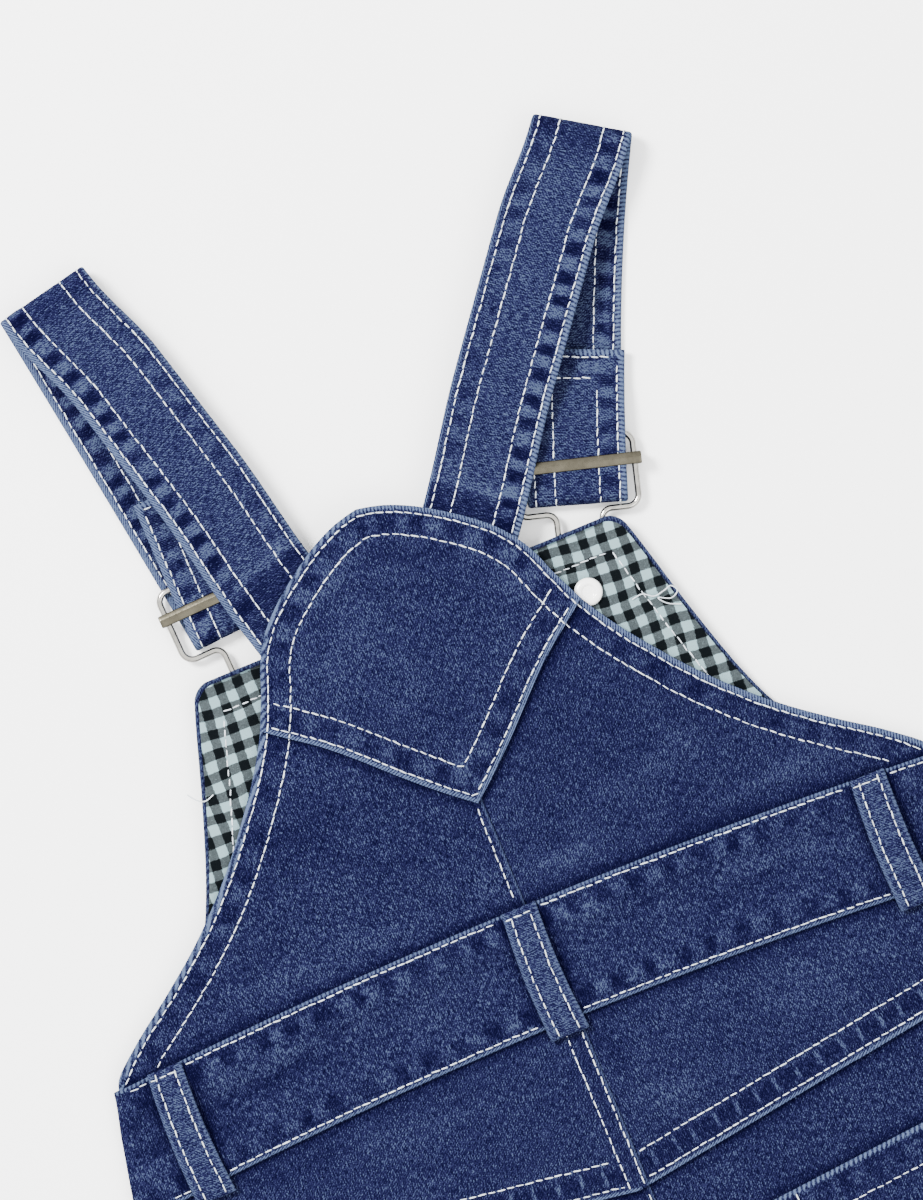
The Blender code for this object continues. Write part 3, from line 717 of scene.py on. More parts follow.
def panel(name, rows, height, wall, finish, edges=(), covers=(), face_down=False, turn=0.0, tone_and_shade=0.0):
    """A cloth panel. rows hold (x, y), and height(x, y) is its outer face's height.

    edges are (kind, line) rows where the cloth is folded and sewn, and covers the lines where another
    piece lies over it, with painted shadow on the cloth beside them. turn is the direction of its grain in
    degrees.
    """
    rows = np.array(rows, float)
    flat = rows[..., :2]
    shape = flat.shape[:2]
    seam = np.tile([60.0, 0.0, 1.0], (shape[0] * shape[1], 1))
    rub = np.zeros_like(seam)
    for kind, line in edges:
        away, run = nearest(flat, np.array(line, float))
        closer = away < seam[:, 0]
        new_seam, new_rub = wear(kind, away, run)
        seam[closer], rub[closer] = new_seam[closer], new_rub[closer]
    rub[:, 2] += tone_and_shade
    # Painted light and shade of the creases: paler on their ridges, darker in their troughs
    if not face_down:
        rub[:, 2] += [CREASE_SHADING * crease(x, y) for x, y in flat.reshape(-1, 2)]
    # Painted shadow on the cloth beside each edge that lies over it
    for line in covers:
        away, _ = nearest(flat, np.array(line, float))
        rub[:, 2] -= COVER_SHADE * np.exp(-((away / COVER_REACH) ** 2))
    grid = np.zeros((*shape, 3))
    grid[..., :2] = flat
    raised = [pucker(seam[k, 0], seam[k, 1], rub[k, 1]) for k in range(len(seam))]
    grid[..., 2] = np.array([height(x, y) for x, y in flat.reshape(-1, 2)]).reshape(shape)
    up = -1 if face_down else 1
    across = np.swapaxes(tangents(np.swapaxes(grid, 0, 1)), 0, 1)
    normal = np.cross(across, tangents(grid))
    normal[[0, -1], :, 1] = 0.0
    for side in (0, -1):
        flat_side = normal[:, side, 2] > 0.7
        normal[flat_side, side, 0] = 0.0
    normal /= np.linalg.norm(normal, axis=-1, keepdims=True)
    inner = grid - normal * wall * up
    grid[..., 2] += np.array(raised).reshape(shape) * up
    turn = math.radians(turn)
    weave = np.zeros((*shape, 3))
    weave[..., 0] = flat[..., 0] * math.cos(turn) + flat[..., 1] * math.sin(turn)
    weave[..., 1] = flat[..., 1] * math.cos(turn) - flat[..., 0] * math.sin(turn)
    weave[..., 2] = (sum(ord(letter) for letter in name) % 17) * 9.0
    count = shape[0] * shape[1]
    width = shape[1]
    faces = []
    for j in range(shape[0] - 1):
        for i in range(width - 1):
            a = j * width + i
            faces.append((a, a + 1, a + width + 1, a + width))
            faces.append((a + width + count, a + width + 1 + count, a + 1 + count, a + count))
    rim = [*range(width), *range(2 * width - 1, count, width)]
    rim += [*range(count - 2, count - width - 1, -1), *range(count - 2 * width, 0, -width)]
    faces += [(b, a, a + count, b + count) for a, b in zip(rim, rim[1:] + rim[:1])]
    if face_down:
        faces = [face[::-1] for face in faces]
    values = {
        "seam": np.concatenate([seam, seam]),
        "rub": np.concatenate([rub, rub]),
        "weave": np.concatenate([weave.reshape(-1, 3)] * 2),
    }
    points = np.concatenate([grid.reshape(-1, 3), inner.reshape(-1, 3)])
    piece = new_object(name, points, faces, values, finish)
    bevel = piece.modifiers.new("turned edge", "BEVEL")
    bevel.width = 0.38 * MM
    bevel.segments = 2
    bevel.limit_method = "ANGLE"
    bevel.angle_limit = math.radians(55)
    bevel.use_clamp_overlap = True
    apply_modifiers(piece)
    return piece


def pucker(distance, phase, strength):
    """How far the cloth rises between two rows of sewing."""
    rows = (FIRST_ROW, SECOND_ROW)
    ditch = sum(math.exp(-(((distance - row) / DITCH_WIDTH) ** 2)) for row in rows)
    return PUCKER_RISE * strength * math.sin(phase) - DITCH_DEPTH * ditch


# Materials


def nodes_of(name):
    """A new material's node tree and its Principled shader."""
    made = bpy.data.materials.new(name)
    made.use_nodes = True
    return made, made.node_tree, made.node_tree.nodes["Principled BSDF"]


class Graph:
    """Adds nodes to a tree, with short calls for the common ones."""

    def __init__(self, tree):
        self.tree = tree

    def node(self, kind, inputs=None, **settings):
        made = self.tree.nodes.new(kind)
        for key, value in settings.items():
            setattr(made, key, value)
        for key, value in (inputs or {}).items():
            self.put(made.inputs[key], value)
        return made

    def put(self, socket, value):
        if isinstance(value, bpy.types.NodeSocket):
            self.tree.links.new(value, socket)
        else:
            socket.default_value = value

    def math(self, operation, *values, clamp=False):
        made = self.node("ShaderNodeMath", operation=operation, use_clamp=clamp)
        for socket, value in zip(made.inputs, values):
            self.put(socket, value)
        return made.outputs[0]

    def fit(self, value, low, high, to_low=0.0, to_high=1.0, smooth=True):
        inputs = {"Value": value, "From Min": low, "From Max": high, "To Min": to_low, "To Max": to_high}
        kind = "SMOOTHSTEP" if smooth else "LINEAR"
        return self.node("ShaderNodeMapRange", inputs, interpolation_type=kind).outputs["Result"]

    def noise(self, vector, scale, detail=2.0, roughness=0.5, stretch=None):
        if stretch:
            vector = self.node("ShaderNodeMapping", {"Vector": vector, "Scale": stretch}).outputs[0]
        made = self.node(
            "ShaderNodeTexNoise",
            {"Vector": vector, "Scale": scale, "Detail": detail, "Roughness": roughness},
        )
        return made.outputs["Fac"]

    def mix(self, share, a, b, blend="MIX"):
        made = self.node("ShaderNodeMix", data_type="RGBA", blend_type=blend)
        self.put(made.inputs["Factor"], share)
        self.put(made.inputs[6], a)
        self.put(made.inputs[7], b)
        return made.outputs[2]

    def ramp(self, value, stops):
        made = self.node("ShaderNodeValToRGB", {"Fac": value})
        elements = made.color_ramp.elements
        elements[0].color = (*stops[0][1], 1.0)
        elements[1].color = (*stops[-1][1], 1.0)
        for place, colour in stops[1:-1]:
            elements.new(place).color = (*colour, 1.0)
        return made.outputs["Color"]


def new_group(name, inputs, outputs):
    """A shader node group. inputs and outputs are (name, socket type, default) rows."""
    tree = bpy.data.node_groups.new(name, "ShaderNodeTree")
    for title, kind, default in inputs:
        socket = tree.interface.new_socket(title, in_out="INPUT", socket_type=kind)
        if default is not None:
            socket.default_value = default
    for title, kind in outputs:
        tree.interface.new_socket(title, in_out="OUTPUT", socket_type=kind)
    graph = Graph(tree)
    return tree, graph, graph.node("NodeGroupInput"), graph.node("NodeGroupOutput")


def twill_group(cloth):
    """Washed indigo twill: warp lines, uneven threads, worn edges and puckered seams, with painted light and
    shade on the puckers and creases, and painted shadow in the ditches and beside covering edges.
    """
    tree, g, given, out = new_group(
        "washed twill",
        (
            ("Weave", "NodeSocketVector", None),
            ("Seam", "NodeSocketVector", None),
            ("Rub", "NodeSocketVector", None),
            ("Fade", "NodeSocketFloat", 0.0),
        ),
        (("Color", "NodeSocketColor"), ("Roughness", "NodeSocketFloat"), ("Height", "NodeSocketFloat")),
    )
    weave = given.outputs["Weave"]
    parts = g.node("ShaderNodeSeparateXYZ", {"Vector": weave})
    distance, phase, reach = g.node("ShaderNodeSeparateXYZ", {"Vector": given.outputs["Seam"]}).outputs
    # The rub attribute's third part is painted light and shade: creases, shadow beside covering edges, the
    # straps' base and shoulder
    worn, pucker_weight, tone_and_shade = g.node("ShaderNodeSeparateXYZ", {"Vector": given.outputs["Rub"]}).outputs
    # Lines of twill, a little uneven
    wander = g.math("MULTIPLY", g.math("SUBTRACT", g.noise(weave, 0.3, 2.0), 0.5), 1.2)
    diagonal = g.math("ADD", g.math("ADD", parts.outputs[0], parts.outputs[1]), wander)
    lines = g.math("SINE", g.math("MULTIPLY", diagonal, 0.7071 * math.tau / cloth.twill))
    # Uneven warp threads, the grain of the yarn, and soft clouds of wash
    threads = g.noise(weave, 1.0, 1.0, 0.5, (0.5, 3.0, 1.0))
    grain = g.noise(weave, 1.7, 1.0, 0.6)
    fine = g.noise(weave, 3.1, 0.0)
    specks = g.fit(g.noise(weave, 2.4, 0.0), 0.60, 0.76)
    cloud = g.noise(weave, 0.16, 2.0, 0.6)
    patches = g.noise(weave, 0.03, 2.0, 0.5)
    # Puckers between rows of sewing: painted light on their ridges and painted shade in their hollows
    drift = g.math("MULTIPLY", g.math("SUBTRACT", g.noise(weave, 0.07, 1.0), 0.5), 5.0)
    beat = g.math("MULTIPLY", g.math("SINE", g.math("ADD", phase, drift)), 1.5)
    beat = g.math("MAXIMUM", g.math("MINIMUM", beat, 0.9), -1.0)
    beat = g.math("MULTIPLY", beat, g.fit(g.noise(weave, 0.055, 1.0), 0.36, 0.60, 0.45, 1.1))
    pucker_light_and_shade = g.math("MULTIPLY", beat, g.math("MAXIMUM", pucker_weight, 0.0))
    # Where the weight is below nought the cloth gets painted shade, with a narrow painted highlight streak on
    # each pucker
    streak_light_and_shade = g.fit(g.math("SINE", g.math("ADD", phase, drift)), 0.72, 0.97, -0.5, 1.3)
    streak_light_and_shade = g.math("MULTIPLY", streak_light_and_shade, g.math("MAXIMUM", g.math("MULTIPLY", pucker_weight, -1.0), 0.0))
    pucker_light_and_shade = g.math("ADD", pucker_light_and_shade, streak_light_and_shade)
    value = g.math("MULTIPLY_ADD", lines, 0.13, 0.46)
    for part, amount in ((threads, 1.9), (grain, 1.35), (fine, 0.8), (cloud, 0.30), (patches, 0.18)):
        value = g.math("MULTIPLY_ADD", g.math("SUBTRACT", part, 0.5), amount, value)
    value = g.math("MULTIPLY_ADD", specks, 0.22, value)
    # The puckers' painted light and shade
    value = g.math("MULTIPLY_ADD", g.math("MAXIMUM", pucker_light_and_shade, 0.0), 0.36, value)
    value = g.math("MULTIPLY_ADD", g.math("MINIMUM", pucker_light_and_shade, 0.0), 0.56, value)
    # Adds that painted light and shade, and the material's own paler tone
    value = g.math("ADD", g.math("ADD", value, tone_and_shade), given.outputs["Fade"])
    # Painted shade in the ditch beside a row of sewing
    beside_row = g.math("SUBTRACT", distance, 3.1)
    ditch = g.fit(g.math("ABSOLUTE", beside_row), 0.0, 0.9, 0.12, 0.0)
    value = g.math("SUBTRACT", value, ditch)
    indigo = Vector(cloth.indigo)
    pale = Vector(cloth.worn)
    colour = g.ramp(
        value,
        (
            (0.0, (indigo[0] * 0.26, indigo[1] * 0.22, indigo[2] * 0.40)),
            (0.25, (indigo[0] * 0.50, indigo[1] * 0.48, indigo[2] * 0.68)),
            (0.5, tuple(indigo)),
            (0.75, (indigo[0] * 2.1, indigo[1] * 2.1, indigo[2] * 1.75)),
            (1.0, tuple(0.62 * part for part in pale)),
        ),
    )
    # The worn line along a folded edge, rubbed across in fine slanting ribs
    twist = g.math("MULTIPLY", g.math("ADD", g.math("MULTIPLY", distance, 0.8), parts.outputs[0]), 4.6)
    twist = g.math("ADD", twist, g.math("MULTIPLY", parts.outputs[1], 4.6))
    ribs = g.math("MULTIPLY_ADD", g.math("SINE", twist), 0.25, g.noise(weave, 1.6, 2.0, 0.6))
    edge = g.math("DIVIDE", distance, g.math("MULTIPLY", reach, g.math("ADD", ribs, 0.5)))
    rub = g.math("MULTIPLY", g.fit(edge, 0.60, 1.05, 1.0, 0.0), worn)
    rub = g.math("MULTIPLY", rub, g.fit(ribs, 0.22, 0.78, 0.06, 1.0))
    colour = g.mix(g.math("MINIMUM", rub, 1.0), colour, (*pale, 1.0))
    height = g.math("MULTIPLY_ADD", lines, 0.25, g.math("MULTIPLY", threads, 0.8))
    height = g.math("MULTIPLY_ADD", grain, 0.5, height)
    g.put(out.inputs["Color"], colour)
    g.put(out.inputs["Roughness"], g.fit(value, 0.0, 1.0, 0.84, 0.95, smooth=False))
    g.put(out.inputs["Height"], height)
    return tree


def denim_material(name, group, tone_and_shade=0.0):
    made, tree, shader = nodes_of(name)
    g = Graph(tree)
    twill = g.node("ShaderNodeGroup", node_tree=group)
    for key in ("Weave", "Seam", "Rub"):
        read_in = g.node("ShaderNodeAttribute", attribute_name=key.lower())
        g.put(twill.inputs[key], read_in.outputs["Vector"])
    g.put(twill.inputs["Fade"], tone_and_shade)
    bump = g.node(
        "ShaderNodeBump", {"Strength": 0.5, "Distance": 0.00025, "Height": twill.outputs["Height"]}
    )
    g.put(shader.inputs["Base Color"], twill.outputs["Color"])
    g.put(shader.inputs["Roughness"], twill.outputs["Roughness"])
    g.put(shader.inputs["Normal"], bump.outputs["Normal"])
    shader.inputs["Specular IOR Level"].default_value = 0.0
    return made


def gingham_material(cloth):
    made, tree, shader = nodes_of("checked lining")
    g = Graph(tree)
    weave = g.node("ShaderNodeAttribute", attribute_name="weave").outputs["Vector"]
    parts = g.node("ShaderNodeSeparateXYZ", {"Vector": weave})
    dark = []
    for axis, stretch in ((0, (6.0, 0.7, 1.0)), (1, (0.7, 6.0, 1.0))):
        bow = g.math("MULTIPLY", g.math("SUBTRACT", g.noise(weave, 0.05 + 0.01 * axis, 1.0), 0.5), 3.0)
        along = g.math("DIVIDE", g.math("ADD", parts.outputs[axis], bow), 2 * cloth.check)
        ragged = g.math("MULTIPLY", g.math("SUBTRACT", g.noise(weave, 1.0, 1.0, 0.5, stretch), 0.5), 0.12)
        share = g.math("FRACT", g.math("ADD", g.math("ADD", along, ragged), 40.0))
        dark.append(g.fit(g.math("PINGPONG", share, 0.5), 0.232, 0.268))
    yarn = g.noise(weave, 1.0, 1.0, 0.5, (3.2, 3.2, 1.0))
    across_yarn = g.noise(weave, 1.0, 1.0, 0.5, (0.7, 4.2, 1.0))
    along_yarn = g.noise(weave, 1.0, 1.0, 0.5, (4.2, 0.7, 1.0))
    flecks = g.math("SUBTRACT", g.math("MAXIMUM", across_yarn, along_yarn), 0.56)
    value = g.math("MULTIPLY", g.math("ADD", dark[0], dark[1]), 0.5)
    value = g.math("MULTIPLY_ADD", flecks, 0.5, value)
    value = g.math("MULTIPLY_ADD", g.math("SUBTRACT", yarn, 0.5), 0.16, value)
    colour = g.ramp(
        value,
        (
            (0.0, (0.150, 0.225, 0.243)),
            (0.28, (0.110, 0.170, 0.185)),
            (0.44, (0.036, 0.045, 0.048)),
            (0.64, (0.016, 0.020, 0.0215)),
            (0.88, (0.0026, 0.0036, 0.0042)),
            (1.0, (0.0014, 0.0022, 0.0028)),
        ),
    )
    bump = g.node("ShaderNodeBump", {"Strength": 0.4, "Distance": 0.0002, "Height": yarn})
    g.put(shader.inputs["Base Color"], colour)
    g.put(shader.inputs["Normal"], bump.outputs["Normal"])
    shader.inputs["Roughness"].default_value = 0.9
    shader.inputs["Specular IOR Level"].default_value = 0.02
    return made


def thread_material(sewing):
    made, tree, shader = nodes_of("stitch thread")
    g = Graph(tree)
    place = g.node("ShaderNodeTexCoord").outputs["Object"]
    plies = g.noise(place, 2600.0, 2.0, 0.6)
    tint = g.noise(place, 130.0, 2.0)
    light = (*sewing.colour, 1.0)
    shade = tuple(0.72 * part for part in sewing.colour)
    colour = g.mix(g.fit(tint, 0.3, 0.7), light, (*shade, 1.0))
    colour = g.mix(g.fit(plies, 0.35, 0.65, 0.0, 0.35), colour, (*(0.6 * part for part in shade), 1.0))
    bump = g.node("ShaderNodeBump", {"Strength": 0.4, "Distance": 0.0001, "Height": plies})
    g.put(shader.inputs["Base Color"], colour)
    g.put(shader.inputs["Normal"], bump.outputs["Normal"])
    shader.inputs["Roughness"].default_value = 0.7
    shader.inputs["Specular IOR Level"].default_value = 0.3
    return made


def metal_material(name, colour, roughness, brushed):
    made, tree, shader = nodes_of(name)
    g = Graph(tree)
    place = g.node("ShaderNodeTexCoord").outputs["Object"]
    tarnish = g.noise(place, 260.0, 3.0, 0.6)
    scratches = g.noise(place, 900.0, 2.0, 0.6)
    low = tuple(0.72 * part for part in colour)
    g.put(shader.inputs["Base Color"], g.mix(g.fit(tarnish, 0.35, 0.75), (*colour, 1), (*low, 1)))
    g.put(shader.inputs["Roughness"], g.fit(scratches, 0.3, 0.75, roughness, roughness + brushed))
    shader.inputs["Metallic"].default_value = 1.0
    return made


def white_material():
    made, tree, shader = nodes_of("white snap")
    g = Graph(tree)
    place = g.node("ShaderNodeTexCoord").outputs["Object"]
    cloud = g.noise(place, 350.0, 2.0)
    g.put(shader.inputs["Base Color"], g.mix(cloud, (0.86, 0.86, 0.84, 1), (0.80, 0.80, 0.78, 1)))
    g.put(shader.inputs["Roughness"], g.fit(cloud, 0.3, 0.7, 0.24, 0.34))
    shader.inputs["Coat Weight"].default_value = 0.4
    return made


def floor_material():
    made, tree, shader = nodes_of("pale floor")
    g = Graph(tree)
    place = g.node("ShaderNodeTexCoord").outputs["Object"]
    g.put(
        shader.inputs["Base Color"],
        g.mix(g.noise(place, 3.0, 2.0), (0.93, 0.93, 0.93, 1), (0.91, 0.91, 0.91, 1)),
    )
    shader.inputs["Roughness"].default_value = 0.9
    shader.inputs["Specular IOR Level"].default_value = 0.0
    return made


def finish(name):
    """The material of that name, made when it is first asked for."""
    if name in bpy.data.materials:
        return bpy.data.materials[name]
    scene = bpy.context.scene
    cloth = scene.overalls_cloth
    if "washed twill" not in bpy.data.node_groups:
        twill_group(cloth)
    group = bpy.data.node_groups["washed twill"]
    fades = {
        "body denim": 0.0,
        "patch denim": 0.03,
        "waistband denim": 0.02,
        "strap denim": 0.15,
        "loop denim": 0.20,
        "inside denim": 0.04,
    }
    if name in fades:
        return denim_material(name, group, fades[name])
    if name == "checked lining":
        return gingham_material(cloth)
    if name == "stitch thread":
        return thread_material(scene.overalls_sewing)
    if name == "nickel wire":
        return metal_material(name, (0.33, 0.32, 0.295), 0.10, 0.10)
    if name == "nickel slide":
        return metal_material(name, (0.075, 0.068, 0.050), 0.22, 0.14)
    if name == "white snap":
        return white_material()
    if name == "pale floor":
        return floor_material()
    raise ValueError(name)


# Outlines that the panels and their sewing share


def armhole_line(count=120):
    """The right armhole edge from the waist to the patch."""
    edge = [p for p in ARMHOLE if p[1] < PATCH_SEAM_END[1] + LAP]
    return curve([ARMHOLE_START, *edge, (ARMHOLE_END_X, PATCH_SEAM_END[1] + LAP - 1.0)], count)


def bib_outline():
    """The back's free edge, from the left end of the waist over the patch to the right end."""
    shoulder_y = PATCH_TOP[-1][1]
    right = [*[p for p in ARMHOLE if p[1] < shoulder_y - LAP / 2], *reversed(PATCH_TOP)]
    half = curve(right, 240)
    return np.concatenate([flipped(half)[:-1], [[0.0, PATCH_TOP_Y]], half[::-1][1:]])


def patch_seam(count=50, offset=0.0):
    """The patch's lower edge from the left armhole to the right one, moved up into it by offset."""
    half = beside(curve(PATCH_SEAM, count), offset)
    if offset:
        slope = (half[1, 1] - half[0, 1]) / (half[1, 0] - half[0, 0])
        half[0] = (0.0, half[0, 1] - slope * half[0, 0])
        half = half[(half[:, 0] > 0.3) | (np.arange(len(half)) == 0)]
    return np.concatenate([flipped(half)[::-1][:-1], half])


def waist_line(level, half=BAND_HALF_WIDTH, count=60):
    xs = np.linspace(-half, half, count)
    return np.array([(x, level(x)) for x in xs])


def over_patch(x, y):
    """Whether that place lies under the patch."""
    return y > read(PATCH_SEAM, abs(x)) if abs(x) < PATCH_SEAM_END[0] else y > PATCH_SEAM_END[1]


def lapped(height, turn, lap):
    """The height of a half at the middle seam, where the left half lies over the right one."""

    def face(x, y):
        if turn < 0:
            return height(x, y) + LAP_OVER * ease(x, -lap - 2.0, -lap)
        return height(x, y) - LAP_UNDER * (1 - ease(x, lap, lap + 1.5))

    return face


class OVERALLS_OT_legs(bpy.types.Operator):
    """Makes the legs, the yokes and the back pockets"""

    bl_idname = "overalls.legs"
    bl_label = "Legs"

    def execute(self, context):
        denim, inside = finish("body denim"), finish("inside denim")
        levels = [HEM_Y, HEM_Y + 0.8, HEM_Y + 1.6]
        while levels[-1] < YOKE_MIDDLE_Y + LAP - 3.0:
            spacing = LEG_GRID if levels[-1] < CROTCH_Y - 10.0 else SEAT_GRID
            levels.append(levels[-1] + spacing)
        levels[-1] = YOKE_MIDDLE_Y + LAP

        def leg(ys, count, slant, rounding, lap=0.0):
            rows = []
            for y in ys:
                inner, outer = read(INSEAM, y), read(SIDE_SEAM, y)
                inner -= lap * ease(y, CROTCH_Y + 6.0, CROTCH_Y + 30.0)
                row = []
                for x in between(inner, outer, count, rounding, rounding):
                    at = y + slant(x, y)
                    edge = outer - x < inner + (outer - inner) / 2
                    x += read(SIDE_SEAM, at) - outer if edge and at > CROTCH_Y else 0.0
                    row.append((x, at))
                rows.append(row)
            return np.array(rows)

        def back_slant(x, y):
            return (yoke_edge(x) - YOKE_MIDDLE_Y) * ease(y, CROTCH_Y, -110.0)

        def front_slant(x, y):
            return (band_bottom(x) - BAND_BOTTOM_Y) * ease(y, -90.0, -45.0)

        laps = {1: 0.0, -1: SEAT_LAP}
        backs = {turn: leg(levels, 58, back_slant, BACK_ROUND, lap) for turn, lap in laps.items()}
        pocket = [*POCKET_SEWN, POCKET_TOP_INNER]
        yoke_line = np.array([(x, yoke_edge(x)) for x in np.linspace(0, 152, 40)])
        hem = [(30.0, HEM_Y), (156.0, HEM_Y)]
        for side, turn in (("right", 1), ("left", -1)):
            rows = backs[turn] if turn > 0 else mirrored(backs[turn])
            lines = [("hem", np.array(hem) * [turn, 1])]
            covers = [np.array(line, float) * [turn, 1] for line in (yoke_line, pocket)]
            if turn < 0:
                lines.append(("fell", [(SEAT_LAP, CROTCH_Y + 20.0), (SEAT_LAP, YOKE_MIDDLE_Y)]))
            face = lapped(back_face, turn, SEAT_LAP)
            piece = panel(f"back_leg_{side}_cloth", rows, face, DENIM, denim, lines, covers, turn=90)
            settle(piece, f"back_leg_{side}")

        front_levels = [y for y in levels[:-1] if y < -100.0]
        front_levels = front_levels[::2] + list(np.linspace(-96.0, BAND_BOTTOM_Y - GAP, 14))
        front = leg(front_levels, 30, front_slant, FRONT_ROUND)
        for side, turn in (("right", 1), ("left", -1)):
            rows = front if turn > 0 else mirrored(front)
            lines = [("hem", np.array(hem) * [turn, 1])]
            piece = panel(
                f"front_leg_{side}_cloth", rows, front_face, DENIM, inside, lines, face_down=True, turn=90
            )
            settle(piece, f"front_leg_{side}")
        self.yokes(denim)
        self.pockets(denim)
        return {"FINISHED"}

    def yokes(self, denim):
        # Each row (share of the way from the leg's seam to the waistband, layer, offset along Y)
        ends = (
            (0.0, LAYER, 0.0),
            (0.0, LAYER, LAP + 1.6),
            (0.6, LAYER * 0.55, 0.0),
            (1.0, 0.0, -1.8),
            (1.0, 0.0, LAP),
        )
        stations = []
        for (a, b), count in zip(zip(ends, ends[1:]), (9, 8, 8, 5)):
            stations += [tuple(np.array(a) + (np.array(b) - np.array(a)) * k / count) for k in range(count)]
        stations.append(ends[-1])
        layers = {}

        def half(start):
            rows = []
            for share, layer, offset in stations:
                def level(x):
                    return yoke_edge(x) * (1 - share) + band_bottom(x) * share + offset

                side = read(SIDE_SEAM, level(read(SIDE_SEAM, level(150)))) + layer
                row = []
                for x in between(start, side, 90, BACK_ROUND + layer):
                    y = level(x)
                    if x > side / 2:
                        x = read(SIDE_SEAM, y) + layer - (side - x)
                    row.append((x, y))
                    layers[round(abs(x), 4), round(y, 4)] = layer
                rows.append(row)
            return np.array(rows)

        def height(x, y):
            return back_face(x, y, layers[round(abs(x), 4), round(y, 4)])

        yoke_line = np.array([(x, yoke_edge(x)) for x in np.linspace(0, 156, 40)])
        band = waist_line(band_bottom, 146.0)
        for side, turn in (("right", 1), ("left", -1)):
            seen = half(GAP / 2) if turn > 0 else mirrored(half(-SEAT_LAP))
            edges = [("yoke", yoke_line * [turn, 1])]
            if turn < 0:
                edges.append(("fell", [(SEAT_LAP, YOKE_MIDDLE_Y), (SEAT_LAP, BAND_BOTTOM_Y)]))
            face = lapped(height, turn, SEAT_LAP)
            grain = 90 + 8 * turn
            piece = panel(f"back_yoke_{side}_cloth", seen, face, DENIM, denim, edges, [band], turn=grain)
            settle(piece, f"back_yoke_{side}")

    def pockets(self, denim):
        columns, levels = 25, 34
        inner = evenly([POCKET_LOW_INNER, POCKET_POINT], columns)
        outer = evenly([POCKET_POINT, POCKET_LOW_OUTER], columns)
        bottom = np.concatenate([inner[:-1], outer])
        top = evenly([POCKET_TOP_INNER, POCKET_TOP_OUTER], 2 * columns - 1)
        left = evenly([POCKET_LOW_INNER, POCKET_TOP_INNER], levels)
        right = evenly([POCKET_LOW_OUTER, POCKET_TOP_OUTER], levels)
        rows = coons(bottom, top, left, right)
        outline = [*POCKET_SEWN, POCKET_TOP_INNER]
        for side, turn in (("right", 1), ("left", -1)):
            seen = rows if turn > 0 else mirrored(rows)
            piece = panel(
                f"back_pocket_{side}_cloth",
                seen,
                lambda x, y: back_face(x, y, LAYER),
                DENIM,
                denim,
                [("pocket", np.array(outline) * [turn, 1])],
                turn=86 * turn,
            )
            settle(piece, f"back_pocket_{side}")


class OVERALLS_OT_waistband(bpy.types.Operator):
    """Makes the waistband and its belt loops"""

    bl_idname = "overalls.waistband"
    bl_label = "Waistband"

    def execute(self, context):
        denim = finish("waistband denim")
        sags = ((0.0, 0.0), (0.24, 0.0), (0.40, 0.9), (0.52, 1.0), (0.64, 0.9), (0.78, 0.0), (1.0, 0.0))
        sag_at = {}
        rows = []
        for share in np.linspace(0, 1, 32):
            rows.append(self.row(share, 100, BACK_ROUND, sag_at, read(sags, share)))
        edges = [("band", waist_line(band_top, 140.0)), ("band", waist_line(band_bottom, 146.0))]

        def height(x, y):
            return back_face(x, y, LAYER) - sag_at[round(x, 4), round(y, 4)]

        covers = [
            [(x + side, band_bottom(x)), (x + side, band_top(x))] for _, x in LOOPS for side in (-6.0, 6.0)
        ]
        piece = panel("waistband_back_cloth", rows, height, DENIM, denim, edges, covers, turn=90)
        settle(piece, "waistband_back")
        rows = [self.row(share, 40, FRONT_ROUND, {}, 0.0) for share in np.linspace(0, 1, 14)]
        piece = panel(
            "waistband_front_cloth",
            rows,
            lambda x, y: front_face(x, y, LAYER),
            DENIM,
            denim,
            edges,
            face_down=True,
            turn=90,
        )
        settle(piece, "waistband_front")
        for name, x in LOOPS:
            self.loop(name, x, finish("loop denim"))
        return {"FINISHED"}

    def row(self, share, count, rounding, sag_at, sag):
        y_side = band_bottom(BAND_HALF_WIDTH) * (1 - share) + band_top(BAND_HALF_WIDTH) * share
        side = read(SIDE_SEAM, y_side) + LAYER
        xs = between(0, side, count, rounding + LAYER)
        row = []
        for x in [-x for x in reversed(xs[1:])] + xs:
            y = band_bottom(x) * (1 - share) + band_top(x) * share
            reach = min(1.0, (side - abs(x)) / (rounding + LAYER))
            x = math.copysign(read(SIDE_SEAM, y) + LAYER - (side - abs(x)), x) if x else 0.0
            row.append((x, y))
            sag_at[round(x, 4), round(y, 4)] = sag * BAND_SAG * reach
        return row

    def loop(self, name, middle, denim):
        low, high = loop_ends(middle)
        rows = [
            [(loop_x(middle, share, y), y) for share in np.linspace(-0.5, 0.5, 13)]
            for y in np.linspace(low, high, 40)
        ]
        sides = [
            ("loop", [(loop_x(middle, side, y), y) for y in np.linspace(low - 6, high + 6, 12)])
            for side in (-0.5, 0.5)
        ]
        height = loop_height(middle)
        piece = panel(f"belt_loop_{name}_cloth", rows, height, LOOP_WALL - 0.4, denim, sides, turn=0)
        settle(piece, f"belt_loop_{name}")


def loop_ends(middle):
    return band_bottom(middle) - LOOP_BELOW_BAND, band_top(middle) + GAP


def loop_x(middle, share, y):
    """x at that share of the loop's width from its middle. The loop bows a little."""
    low, high = loop_ends(middle)
    along = (y - low) / (high - low)
    bow = -0.9 * math.sin(math.pi * min(1.0, max(0.0, along)))
    width = LOOP_WIDTH * (1.0 + 0.06 * (1 - along) - 0.05 * along)
    return middle + bow + width * share


